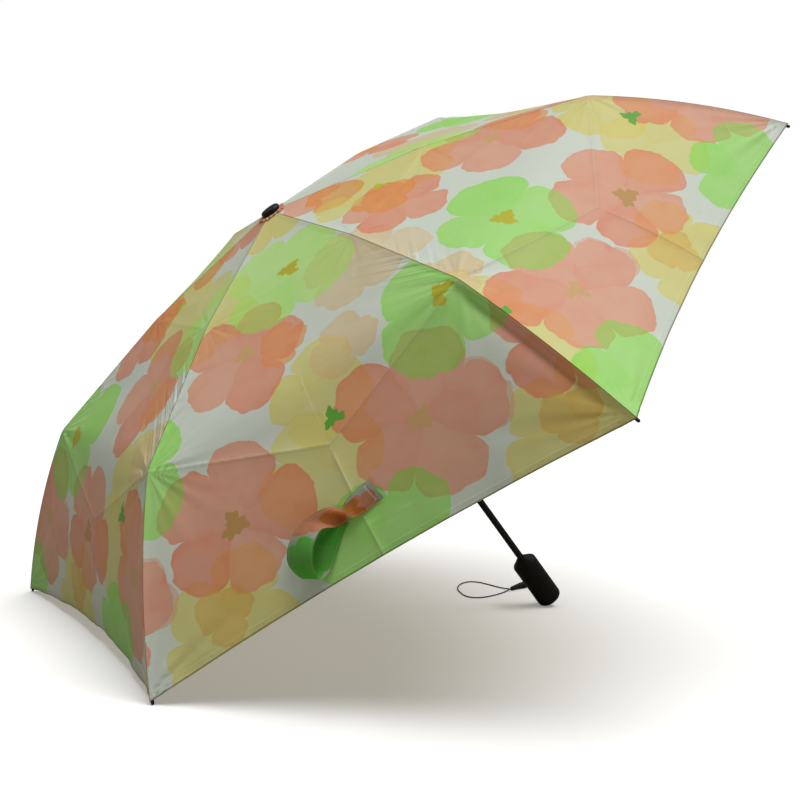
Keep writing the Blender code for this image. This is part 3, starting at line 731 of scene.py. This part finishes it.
def gore_spot(aside, down, height):
    """A point above the strap's gore: aside from its middle and down from the shaft, in metres."""
    side, rib = (1, STRAP_GORE) if aside <= 0 else (-1, STRAP_GORE + 1)
    along = np.interp(np.array([down]), GORE_LINE, PROFILE[:, 0])
    half = ridge_at(along)[0] * math.sin(HALF_STEP)
    share = 1 - abs(aside) / half
    point = cloth(rib, along, share, side) + slopes(along, share, side) * height
    return Vector(to_world(turned_about_shaft(point, rib))[0])


def curve_point(a, b, c, d, t):
    """The point at share t of the way from b to c, on a Catmull-Rom curve."""
    square = 2 * a - 5 * b + 4 * c - d
    cube = 3 * b - a - 3 * c + d
    return b + 0.5 * ((c - a) * t + square * t**2 + cube * t**3)


def smooth_values(rows, count):
    """Rows of numbers turned into count evenly spread rows on smooth curves through them."""
    values = np.array(rows, dtype=float)
    padded = np.vstack((2 * values[0] - values[1], values, 2 * values[-1] - values[-2]))
    made = []
    for i in range(count):
        place = min(i * (len(values) - 1) / (count - 1), len(values) - 1 - 1e-9)
        k = int(place)
        made.append(curve_point(*padded[k : k + 4], place - k))
    return made


def tie_strap(finish):
    """A ribbon loop sewn to the gore by its square end, twisted once, its free loop hanging open."""
    verts, places = [], []
    walked, last = 0.0, None
    for aside, down, half_width, lean, height, tip_over in smooth_values(STRAP_STATIONS, STRAP_ROWS):
        angle = math.radians(lean)
        row = []
        for column in range(STRAP_COLUMNS + 1):
            share = 2 * column / STRAP_COLUMNS - 1
            lift = max(height + tip_over * share + STRAP_CROWN * (1 - share * share), STRAP_CLEARANCE)
            reach = half_width * share
            row.append(gore_spot(aside + reach * math.cos(angle), down + reach * math.sin(angle), lift))
        middle = row[len(row) // 2]
        walked += (middle - last).length if last else 0.0
        last = middle
        verts += row
        places += [(STRAP_WIDTH * (c / STRAP_COLUMNS - 0.5), walked) for c in range(STRAP_COLUMNS + 1)]
    places = np.array(places)
    column = np.arange(len(verts)) % (STRAP_COLUMNS + 1)
    edge = np.minimum(column, STRAP_COLUMNS - column) * STRAP_WIDTH / STRAP_COLUMNS
    to_seam = np.abs(places[:, 1] - STRAP_SEAM)
    to_stitch = np.minimum(edge + STRAP_HEM_SHIFT, to_seam + STRAP_SEAM_SHIFT)
    to_edges = np.column_stack((np.full(len(verts), NO_RIDGE), to_stitch))
    layers = (places, places * np.array((1.0, 0.3)), to_edges)
    faces = grid_faces(STRAP_ROWS - 1, STRAP_COLUMNS, CELL[:1] + CELL[:0:-1])
    made = new_object("strap_ribbon", cloth_mesh("strap_ribbon", verts, faces, layers, finish))
    rib = STRAP_GORE + 1
    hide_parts("tie_strap")
    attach(made, f"outer_rib_{rib}")
    axis, anchor = gathering(rib, "outer", -1)
    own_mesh(made)


def ruffled_collar(finish):
    """The small gathered disc of cloth that shows round the foot of the top cap."""
    verts, distances = [], []
    for row in range(COLLAR_ROWS + 1):
        share = row / COLLAR_ROWS
        for column in range(COLLAR_COLUMNS):
            angle = 2 * math.pi * column / COLLAR_COLUMNS
            edge = COLLAR_RADIUS * (1 + 0.05 * math.sin(5 * angle + 1.0) + 0.03 * math.sin(13 * angle))
            radius = COLLAR_BORE + (edge - COLLAR_BORE) * share
            outside = max(radius - COLLAR_FLAT, 0.0)
            gather = RUFFLE_HEIGHT * math.sin(18 * angle + 3 * share) * min(outside / 0.003, 1.0)
            height = COLLAR_HEIGHT - RUFFLE_DROOP * outside + gather
            height += RUFFLE_LIFT * min(outside / 0.002, 1.0)
            verts.append((radius * math.cos(angle), radius * math.sin(angle), height))
            distances.append(edge - radius)
    flat = np.array(verts)[:, :2]
    to_edges = np.column_stack((np.full(len(flat), NO_RIDGE), np.array(distances) + 0.0008))
    layers = (flat + np.array((0.026, 0.040)), flat + np.array((0.0, 0.060)), to_edges)
    faces = grid_faces(COLLAR_ROWS, COLLAR_COLUMNS, closed=True)
    verts = [REST @ Vector(v) for v in verts]
    made = new_object("cap_collar", cloth_mesh("cap_collar", verts, faces, layers, finish))
    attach(made, "top_tube")


def rib_point(rib, flat, sideways=0.0):
    """A point of a rib's plane in the row frame."""
    turn = rib_turn(rib)
    x = flat[0] * math.cos(turn) - sideways * math.sin(turn)
    y = flat[0] * math.sin(turn) + sideways * math.cos(turn)
    return REST @ Vector((x, y, flat[1]))


def swept_thread(body, points, radius, sides):
    """Adds a thin round thread along points, with closed ends."""
    rings = []
    for before, point, after in zip(points[:1] + points, points, points[1:] + points[-1:]):
        forward = (after - before).normalized()
        one = forward.cross(Vector((0.31, 0.52, 0.79))).normalized()
        rings.append(round_ring(body, point, one, forward.cross(one), radius, sides))
    join_rings(body, rings)
    body.faces.new(rings[0][::-1])
    body.faces.new(rings[-1])


def ridge_spot(section, share):
    """A point of the ridge in a rib's plane, its outward normal and its direction."""
    start, stop = SECTION_ENDS[section]
    along = start + (stop - start) * share
    here, there = (np.array(ridge_at(along + step)) for step in (-0.001, 0.001))
    direction = Vector(there - here).normalized()
    return Vector((here + there) / 2), across(direction), direction


def thread_ties(finish):
    """Sewn loops that tie the canopy's seams to the ribs."""
    for rib in range(1, RIBS + 1):
        for section, shares in TIES.items():
            body = bmesh.new()
            plane = TIE_PLANE if section == "middle" else -TIE_PLANE
            for share in shares:
                top, normal, direction = ridge_spot(section, share)
                depth = RIDGE_LIFT - (TOP_RIB_RISE * share if section == "inner" else 0.0) + TIE_SLACK
                centre = top - normal * (depth / 2 + TIE_BELOW)
                points = []
                for i in range(TIE_TURNS * TIE_STEPS + 1):
                    angle = 2 * math.pi * i / TIE_STEPS
                    flat = centre + normal * (depth / 2) * math.sin(angle)
                    flat = flat + direction * TIE_PITCH * (i / TIE_STEPS - TIE_TURNS / 2)
                    points.append(rib_point(rib, flat, plane + TIE_HALF_WIDTH * math.cos(angle)))
                swept_thread(body, points, THREAD_RADIUS, THREAD_SIDES)
            made = from_bmesh(f"thread_ties_{section}_{rib}", body, finish)
            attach(made, f"{CARRIERS[section]}_{rib}")


def rivets(finish):
    """Domed rivets through every pivot of the ribs, on the body that turns about it."""
    top, knuckle, shoulder = pivot_of("inner"), pivot_of("middle"), pivot_of("outer")
    joint = top + STRETCHER_REACH * (knuckle - top).normalized()
    drop = math.sqrt(STRETCHER_LENGTH**2 - (joint.x - STRETCHER_PIVOT_RADIUS) ** 2)
    runner = Vector((STRETCHER_PIVOT_RADIUS, joint.y - drop))
    spots = {
        "top_rib": (top, joint),
        "middle_rib": (knuckle,),
        "outer_rib": (shoulder,),
        "stretcher": (runner,),
    }
    outline = RIVET_OUTLINE + tuple((r, -z) for r, z in reversed(RIVET_OUTLINE))
    for rib in range(1, RIBS + 1):
        for carrier, pivots in spots.items():
            body = bmesh.new()
            for pivot in pivots:
                rings = []
                for radius, level in outline:
                    ring = []
                    for i in range(RIVET_SIDES if radius else 1):
                        angle = 2 * math.pi * i / RIVET_SIDES
                        flat = pivot + radius * Vector((math.cos(angle), math.sin(angle)))
                        ring.append(body.verts.new(rib_point(rib, flat, level)))
                    rings.append(ring)
                join_rings(body, rings)
            made = from_bmesh(f"rivets_{carrier}_{rib}", body, finish)
            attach(made, f"{carrier}_{rib}")


# ---- node helpers


class Graph:
    """Short calls that build one node tree."""

    def __init__(self, tree):
        self.tree = tree

    def put(self, socket, value):
        """Links or sets a socket; None leaves it as it is."""
        if isinstance(value, bpy.types.NodeSocket):
            self.tree.links.new(value, socket)
        elif value is not None:
            socket.default_value = value

    def fill(self, node, inputs):
        for name, value in inputs.items():
            self.put(node.inputs[name], value)
        return node

    def node(self, kind, inputs=None, **settings):
        made = self.tree.nodes.new(kind)
        for name, value in settings.items():
            setattr(made, name, value)
        return self.fill(made, inputs or {})

    def calc(self, operation, *values, clamp=False):
        made = self.node("ShaderNodeMath", operation=operation, use_clamp=clamp)
        return self.fill(made, dict(enumerate(values))).outputs[0]

    def plus(self, one, other):
        return self.calc("ADD", one, other)

    def minus(self, one, other):
        return self.calc("SUBTRACT", one, other)

    def times(self, one, other):
        return self.calc("MULTIPLY", one, other)

    def scaled(self, value, factor, offset):
        return self.calc("MULTIPLY_ADD", value, factor, offset)

    def length(self, one, other):
        return self.calc("SQRT", self.plus(self.times(one, one), self.times(other, other)))

    def away(self, value, place):
        return self.calc("ABSOLUTE", self.minus(value, place))

    def split(self, vector):
        return self.node("ShaderNodeSeparateXYZ", {"Vector": vector}).outputs

    def vector(self, *parts):
        return self.node("ShaderNodeCombineXYZ", dict(zip("XYZ", parts))).outputs[0]

    def step(self, value, low, high):
        """0 below low, 1 above high and smooth between; high may be the lower one."""
        ends = {"Value": value, "From Min": low, "From Max": high}
        return self.node("ShaderNodeMapRange", ends, interpolation_type="SMOOTHSTEP").outputs[0]

    def mix(self, share, one, other, blend="MIX"):
        pair = [(*c, 1.0) if isinstance(c, tuple) and len(c) == 3 else c for c in (one, other)]
        inputs = {0: share, 6: pair[0], 7: pair[1]}
        return self.node("ShaderNodeMix", inputs, data_type="RGBA", blend_type=blend).outputs[2]

    def noise(self, vector, scale, detail=2.0, roughness=0.5, colour=False):
        inputs = {"Scale": scale, "Detail": detail, "Roughness": roughness, "Vector": vector}
        return self.node("ShaderNodeTexNoise", inputs).outputs["Color" if colour else "Fac"]

    def bands(self, vector, scale, distortion=0.0):
        inputs = {"Vector": vector, "Scale": scale, "Distortion": distortion}
        return self.node("ShaderNodeTexWave", inputs, bands_direction="DIAGONAL").outputs["Fac"]

    def bump(self, height, distance, strength=1.0, normal=None):
        inputs = {"Strength": strength, "Distance": distance, "Height": height, "Normal": normal}
        return self.node("ShaderNodeBump", inputs).outputs[0]

    def here(self):
        return self.node("ShaderNodeTexCoord").outputs["Object"]


def new_material(name):
    """A material, the graph that builds it and its shader."""
    made = bpy.data.materials.new(name)
    made.use_nodes = True
    return made, Graph(made.node_tree), made.node_tree.nodes["Principled BSDF"]


# What the blossom group takes, in the order in which printed_colour gives it
BLOSSOM_COLOURS = ("Under", "Ground", "Colour", "Deep Colour", "Heart")
BLOSSOM_NUMBERS = ("Across", "Down", "Wash", "Centre Across", "Centre Down", "Radius", "Petals", "Turn")
BLOSSOM_NUMBERS += ("Heart Radius", "Seed")


def blossom_group():
    """One watercolour flower laid over the print, multiplied into what is under it."""
    tree = bpy.data.node_groups.new("blossom", "ShaderNodeTree")
    for names, kind in ((BLOSSOM_COLOURS, "NodeSocketColor"), (BLOSSOM_NUMBERS, "NodeSocketFloat")):
        for name in names:
            tree.interface.new_socket(name, in_out="INPUT", socket_type=kind)
    tree.interface.new_socket("Over", in_out="OUTPUT", socket_type="NodeSocketColor")
    g = Graph(tree)
    given = g.node("NodeGroupInput").outputs
    dx = g.minus(given["Across"], given["Centre Across"])
    dx = g.calc("WRAP", dx, PRINT_REPEAT / 2, -PRINT_REPEAT / 2)
    dy = g.minus(given["Down"], given["Centre Down"])
    distance = g.length(dx, dy)
    turned = g.plus(g.calc("ARCTAN2", dy, dx), given["Turn"])
    parts = g.times(g.calc("DIVIDE", turned, 2 * math.pi), given["Petals"])
    parts = g.calc("FLOORED_MODULO", parts, given["Petals"])
    local = g.minus(g.calc("FRACT", parts), 0.5)
    # every petal has its own size and depth of colour
    spot = {"Vector": g.vector(g.calc("FLOOR", parts), given["Seed"])}
    chance = g.node("ShaderNodeTexWhiteNoise", spot, noise_dimensions="2D").outputs
    first, second = chance["Value"], g.node("ShaderNodeSeparateColor", {"Color": chance["Color"]}).outputs[2]
    lobe = g.calc("POWER", g.calc("COSINE", g.times(local, math.pi)), 0.42)
    edge = g.times(given["Radius"], g.scaled(first, 0.24, 0.84))
    inside = g.minus(g.times(edge, g.scaled(lobe, 0.38, 0.62)), distance)
    tone = g.plus(g.times(second, 0.35), g.times(g.step(inside, 0.006, 0.0), 0.16))
    tone = g.plus(tone, g.times(given["Wash"], 0.25))
    streak = g.step(g.calc("ABSOLUTE", local), 0.5, 0.25)
    tone = g.calc("SUBTRACT", tone, g.times(streak, 0.10), clamp=True)
    petal = g.mix(tone, given["Colour"], given["Deep Colour"])
    under = g.mix(OPACITY, given["Under"], given["Ground"])
    over = g.mix(g.step(inside, -0.0006, 0.0008), given["Under"], g.mix(1.0, under, petal, "MULTIPLY"))
    ragged = g.scaled(g.calc("SINE", g.scaled(turned, 3.0, given["Seed"])), 0.24, 0.85)
    ragged = g.plus(ragged, g.times(g.calc("SINE", g.times(turned, 8.0)), 0.12))
    heart = g.step(g.minus(g.times(given["Heart Radius"], ragged), distance), -0.0004, 0.0008)
    g.node("NodeGroupOutput", {"Over": g.mix(heart, over, given["Heart"])})
    return tree


def printed_colour(g, across_print, down_print, wash, blossom, flowers, ground):
    """The whole print: flowers multiplied over each other on the pale ground."""
    colour = (*ground, 1.0)
    for number, (x, y, radius, petals, turn, tint, *heart) in enumerate(flowers):
        flower = g.tree.nodes.new("ShaderNodeGroup")
        flower.node_tree = blossom
        heart_tint, heart_radius = heart or (tint, NO_HEART)
        deep = tuple(c * c / max(tint) for c in tint)
        colours = (colour, *((*c, 1.0) for c in (ground, tint, deep, heart_tint)))
        numbers = (across_print, down_print, wash, x, y, radius, petals, math.radians(turn))
        numbers += (heart_radius, number * 3.7)
        g.fill(flower, dict(zip(BLOSSOM_COLOURS + BLOSSOM_NUMBERS, colours + numbers)))
        colour = flower.outputs["Over"]
    return colour


def cloth_material(name, blossom, flowers, ground, stitching):
    """Printed pongee: flowers, fine plain weave, seams, hem stitching and a satin sheen."""
    made, g, shader = new_material(name)
    uv = {layer: g.node("ShaderNodeUVMap", uv_map=layer).outputs[0] for layer in ("print", "gore", "edge")}
    split = {layer: g.split(vector) for layer, vector in uv.items()}
    places = list(split["print"][:2])
    for scale, size in ((38.0, WOBBLE), (170.0, FRINGE)):
        moved = g.split(g.noise(uv["print"], scale, colour=True))
        places = [g.plus(place, g.scaled(move, size, -size / 2)) for place, move in zip(places, moved)]
    wash = g.step(g.noise(uv["print"], 24.0, 4.0, 0.65), 0.40, 0.72)
    colour = printed_colour(g, *places, wash, blossom, flowers, ground)
    # fold lines: a painted highlight along each fold, and painted shade beside it
    lat, down = g.calc("ABSOLUTE", split["gore"][0]), split["gore"][1]
    fold = g.minus(down, g.scaled(lat, -FOLD_SLOPE, FOLD_DOWN))
    fold = g.calc("ABSOLUTE", g.times(fold, 1 / FOLD_STRETCH))
    below = g.step(g.minus(down, FOLD_DOWN), 0.0, 0.01)
    nearest = g.calc("MINIMUM", fold, g.plus(lat, g.minus(1.0, below)))
    # painted highlight along each fold, uneven along its length
    fold_highlight = g.times(g.step(nearest, 0.0016, 0.0002), g.noise(uv["gore"], 60.0))
    # painted shade beside each fold
    beside = g.times(g.step(nearest, 0.0050, 0.0015), 0.05)
    colour = g.mix(beside, colour, (0.50, 0.45, 0.35), "MULTIPLY")
    colour = g.mix(g.times(fold_highlight, 0.25), colour, (0.86, 0.88, 0.78))
    # seam beside each ridge, painted shade along the hem's edge, and the stitched hem
    ridge, hem = split["edge"][:2]
    stitch_run = g.calc("FRACT", g.times(lat, 1 / STITCH_PITCH))
    dash = g.step(g.away(stitch_run, 0.5), 0.36, 0.28)
    stitch = g.times(g.step(g.away(hem, HEM_STITCH), 0.0006, 0.0002), dash)
    hem_edge, seam = g.step(hem, 0.0016, 0.0006), g.step(ridge, 0.0010, 0.0002)
    # painted shade along the hem's edge
    colour = g.mix(g.times(hem_edge, 0.75), colour, (0.30, 0.22, 0.13), "MULTIPLY")
    colour = g.mix(g.times(seam, 0.75), colour, (0.25, 0.17, 0.10), "MULTIPLY")
    colour = g.mix(g.times(stitch, stitching), colour, (0.75, 0.72, 0.62))
    soiling = g.times(g.noise(uv["gore"], 9.0, 3.0), 0.10)
    colour = g.mix(soiling, colour, (0.80, 0.80, 0.74), "MULTIPLY")
    # plain weave, puckers at the stitching, unevenness, the folds and the stitches
    threads = [g.calc("SINE", g.times(socket, 2 * math.pi / WEAVE_PITCH)) for socket in split["print"][:2]]
    sewn = g.calc("MAXIMUM", g.step(hem, 0.0072, 0.0060), g.step(ridge, 0.008, 0.001))
    normal = g.bump(g.times(*threads), 0.00002, 0.5)
    normal = g.bump(g.times(g.noise(uv["gore"], 220.0), sewn), 0.0006, 0.6, normal)
    normal = g.bump(g.noise(uv["gore"], 30.0, 4.0, 0.6), 0.0012, 0.35, normal)
    normal = g.bump(g.step(nearest, 0.0030, 0.0), 0.0005, 0.5, normal)
    normal = g.bump(stitch, 0.0002, 0.4, normal)
    surface = {
        "Base Color": colour,
        "Normal": normal,
        "Roughness": g.scaled(g.noise(uv["gore"], 55.0, 3.0), 0.16, 0.36),
        "Specular IOR Level": 0.11,
        "Sheen Weight": 0.02,
        "Sheen Roughness": 0.45,
    }
    g.fill(shader, surface)
    through = g.node("ShaderNodeBsdfTranslucent", {"Color": colour, "Normal": normal})
    layers = {"Fac": THROUGH_LIGHT, 1: shader.outputs[0], 2: through.outputs[0]}
    both = g.node("ShaderNodeMixShader", layers).outputs[0]
    g.fill(made.node_tree.nodes["Material Output"], {"Surface": both})
    return made


def shaded(colour, factor, offset=0.0):
    """A colour made lighter or darker, at most 1."""
    return tuple(min(c * factor + offset, 1.0) for c in colour)


def moulded_material(name, colour, roughness, grain):
    """Moulded plastic with a fine spark texture and slightly scuffed high spots."""
    made, g, shader = new_material(name)
    where = g.here()
    tint = g.mix(g.noise(where, 60.0, 4.0, 0.6), shaded(colour, 0.75), shaded(colour, 1.35))
    scuffs = g.step(g.noise(where, 210.0, 5.0, 0.7), 0.62, 0.78)
    normal = g.bump(g.noise(where, 2600.0), grain, 0.5)
    surface = {
        "Specular IOR Level": 0.24,
        "Base Color": g.mix(g.times(scuffs, 0.2), tint, shaded(colour, 1.0, 0.02)),
        "Roughness": g.scaled(g.noise(where, 140.0, 3.0), 0.18, roughness - 0.09),
        "Normal": g.bump(g.noise(where, 90.0), 0.0004, 0.25, normal),
    }
    g.fill(shader, surface)
    return made


def steel_material(name, colour, roughness, metallic, rub):
    """Drawn steel with fine lengthways rub marks."""
    made, g, shader = new_material(name)
    where = g.here()
    x, y, z = g.split(where)
    marks = g.noise(g.vector(x, y, g.times(z, 0.15)), 900.0, 3.0, 0.6)
    tint = g.mix(marks, shaded(colour, 0.78), shaded(colour, 1.2))
    patches = g.step(g.noise(where, 130.0, 4.0, 0.65), 0.60, 0.74)
    surface = {
        "Base Color": g.mix(g.times(patches, rub), tint, shaded(colour, 1.8, 0.02)),
        "Roughness": g.scaled(marks, 0.20, roughness - 0.10),
        "Metallic": metallic,
        "Normal": g.bump(marks, 0.00004, 0.5),
    }
    g.fill(shader, surface)
    return made


def braid_material(name):
    """Braided cord: crossing threads that spiral both ways."""
    made, g, shader = new_material(name)
    where = g.here()
    x, y, z = g.split(where)
    one, other = g.bands(where, 620.0, 1.2), g.bands(g.vector(g.times(x, -1.0), y, z), 620.0, 1.2)
    threads = g.calc("MAXIMUM", one, other)
    surface = {
        "Base Color": g.mix(threads, (0.006, 0.006, 0.007), (0.030, 0.030, 0.032)),
        "Roughness": g.scaled(threads, -0.15, 0.75),
        "Normal": g.bump(threads, 0.0002, 0.8),
        "Sheen Weight": 0.2,
    }
    g.fill(shader, surface)
    return made


def thread_material(name):
    """Twisted sewing thread, pale green-grey."""
    made, g, shader = new_material(name)
    twist = g.bands(g.here(), 900.0)
    surface = {
        "Base Color": g.mix(twist, (0.42, 0.47, 0.38), (0.62, 0.66, 0.55)),
        "Roughness": g.scaled(twist, 0.1, 0.65),
        "Normal": g.bump(twist, 0.0001, 0.6),
    }
    g.fill(shader, surface)
    return made


# ---- cord


def smooth_route(points, count):
    """Evenly spaced points on a Catmull-Rom curve through the given ones, and its length."""
    fine = np.array(smooth_values(points, ROUTE_STEPS * (len(points) - 1) + 1))
    walked = np.concatenate(([0], np.cumsum(np.linalg.norm(np.diff(fine, axis=0), axis=1))))
    wanted = np.linspace(0, walked[-1], count)
    return np.column_stack([np.interp(wanted, walked, part) for part in fine.T]), float(walked[-1])


def ferrule(finish):
    """The soft tapered sleeve, slightly bent, with moulded rings at its blunt end."""
    axis = FERRULE_FAT_END - FERRULE_THIN_END
    forward = axis.normalized()
    sideways = forward.cross(Vector((0, 0, 1))).normalized()
    upward = sideways.cross(forward).normalized()
    profile = [(0.0, FERRULE_END_RADIUS)]
    for i in range(FERRULE_STATIONS + 1):
        share = i / FERRULE_STATIONS
        radius = FERRULE_RADIUS + FERRULE_TAPER * min(share / 0.8, 1.0)
        if share > FERRULE_RINGS_FROM:
            turns = (share - FERRULE_RINGS_FROM) * 2 * math.pi / FERRULE_RING_PITCH
            radius += FERRULE_RING_HEIGHT * math.sin(turns)
        radius *= min(1.0, 0.55 + 9 * share) * min(1.0, 0.62 + 7 * (1 - share))
        profile.append((share, radius))
    profile.append((1.0, FERRULE_END_RADIUS))
    body, rings = bmesh.new(), []
    for share, radius in profile:
        centre = FERRULE_THIN_END + axis * share + upward * FERRULE_BEND * math.sin(math.pi * share)
        rings.append(round_ring(body, centre, sideways, upward, radius, FERRULE_SIDES))
    join_rings(body, rings, closed=True)
    made = from_bmesh("cord_ferrule_sleeve", body, finish)
    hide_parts("cord_ferrule")
    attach(made, "handle")
    return made


def wrist_cord(finish, sleeve):
    """The thin braided loop and its tether, lying on the floor."""
    points, length = smooth_route(CORD_ROUTE, CORD_POINTS)
    curve = bpy.data.curves.new("wrist_cord_braid", "CURVE")
    curve.dimensions = "3D"
    curve.bevel_depth = CORD_RADIUS
    curve.bevel_resolution = 4
    curve.use_fill_caps = True
    spline = curve.splines.new("POLY")
    spline.points.add(len(points) - 1)
    for place, (x, y, z) in zip(spline.points, points):
        place.co = (x, y, max(z, CORD_RADIUS), 1)
    curve.materials.append(finish)
    made = new_object("wrist_cord_braid", curve)
    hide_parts("wrist_cord")
    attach(made, "handle")


# ---- studio


def camera():
    """The camera, a little above the floor and in front, looking slightly down."""
    made = new_object("camera", bpy.data.cameras.new("camera"))
    heading, dip, roll = (math.radians(angle) for angle in (CAMERA_HEADING, CAMERA_DIP, CAMERA_ROLL))
    forward = Vector((math.sin(heading) * math.cos(dip), math.cos(heading) * math.cos(dip), -math.sin(dip)))
    level = forward.cross(Vector((0, 0, 1))).normalized()
    right = math.cos(roll) * level + math.sin(roll) * level.cross(forward)
    turn = Matrix((right, right.cross(forward), -forward)).transposed()
    made.matrix_world = Matrix.Translation(CAMERA_PLACE) @ turn.to_4x4()
    made.data.lens = CAMERA_LENS
    made.data.clip_start = CAMERA_NEAREST
    bpy.context.scene.camera = made


def floor_paper():
    """White paper that fades out with distance; what bounces off it is a little darker and warmer."""
    finish, g, shader = new_material("studio_paper")
    seen = g.node("ShaderNodeLightPath").outputs["Is Camera Ray"]
    surface = {
        "Base Color": g.mix(seen, PAPER_BOUNCE, PAPER),
        "Roughness": 0.9,
        "Specular IOR Level": 0.1,
        "Emission Color": (1.0, 1.0, 1.0, 1.0),
        "Emission Strength": g.times(seen, PAPER_GLOW),
    }
    g.fill(shader, surface)
    faded = g.step(g.length(*g.split(g.here())[:2]), FADE_START, FADE_END)
    clear = g.node("ShaderNodeBsdfTransparent").outputs[0]
    both = g.node("ShaderNodeMixShader", {"Fac": faded, 1: shader.outputs[0], 2: clear}).outputs[0]
    g.fill(finish.node_tree.nodes["Material Output"], {"Surface": both})
    return finish


def studio():
    """A pale floor that fades into a white surround, a soft sky and a soft sun overhead."""
    body, rings = bmesh.new(), []
    for distance in FLOOR_RINGS:
        angles = [2 * math.pi * i / FLOOR_SIDES for i in range(FLOOR_SIDES if distance else 1)]
        rings.append([body.verts.new((distance * math.cos(a), distance * math.sin(a), 0)) for a in angles])
    join_rings(body, rings[::-1])
    mesh = bpy.data.meshes.new("studio_floor")
    body.to_mesh(mesh)
    body.free()
    mesh.materials.append(floor_paper())
    new_object("studio_floor", mesh)
    world = bpy.data.worlds.new("studio_sky")
    world.use_nodes = True
    g = Graph(world.node_tree)
    seen = g.node("ShaderNodeLightPath").outputs["Is Camera Ray"]
    strength = g.scaled(seen, 1.0 - SKY_STRENGTH, SKY_STRENGTH)
    sky = {"Color": g.mix(seen, SKY_LIGHT, (1.0, 1.0, 1.0)), "Strength": strength}
    g.fill(world.node_tree.nodes["Background"], sky)
    bpy.context.scene.world = world
    sun = bpy.data.lights.new("key_sun", "SUN")
    sun.energy = SUN_STRENGTH
    sun.angle = math.radians(SUN_WIDTH)
    lamp = new_object("key_sun", sun)
    lamp.rotation_euler = (-Vector(SUN_FROM)).to_track_quat("-Z", "Y").to_euler()
    bpy.context.scene.view_settings.view_transform = "Standard"
    bpy.context.scene.view_settings.look = "None"


# ---- assembly


def finish_frame():
    """Procedural finishes for every part of the frame that stays in view."""
    soft = moulded_material("soft_black_plastic", (0.0035, 0.0038, 0.0042), 0.50, 0.00005)
    hard = moulded_material("hard_black_plastic", (0.006, 0.006, 0.0065), 0.38, 0.00002)
    dark = steel_material("black_lacquered_steel", (0.014, 0.014, 0.016), 0.30, 0.5, 0.15)
    zinc = steel_material("zinc_plated_steel", (0.56, 0.57, 0.59), 0.34, 0.92, 0.25)
    hard_nodes = ("handle_end_cap", "crown", "top_cap", "runner", "release_button")
    for name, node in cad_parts.items():
        if name == "handle_grip":
            finish = soft
        elif name in hard_nodes or name.startswith("tip_"):
            finish = hard
        elif name.endswith("_tube") or name.startswith("outer_rib"):
            finish = dark
        elif name.startswith(("top_rib", "middle_rib", "stretcher")):
            finish = zinc
        else:
            continue
        node.data.materials.clear()
        node.data.materials.append(finish)


def main():
    camera()
    braid = braid_material("black_braid")
    rubber = moulded_material("black_rubber", (0.013, 0.013, 0.013), 0.6, 0.00003)
    wrist_cord(braid, ferrule(rubber))
    blossom = blossom_group()
    printed = cloth_material("printed_pongee", blossom, BLOSSOMS, GROUND, stitching=0.14)
    # the strap's print lies on a darker ground than the canopy's: painted shade
    strap_cloth = cloth_material("printed_strap", blossom, STRAP_BLOSSOMS, STRAP_SHADED_GROUND, stitching=0.7)
    build_canopy(printed)
    tie_strap(strap_cloth)
    ruffled_collar(printed)
    thread_ties(thread_material("sewing_thread"))
    rivets(steel_material("rivet_steel", (0.60, 0.60, 0.61), 0.30, 0.95, 0.2))
    finish_frame()
    studio()


main()
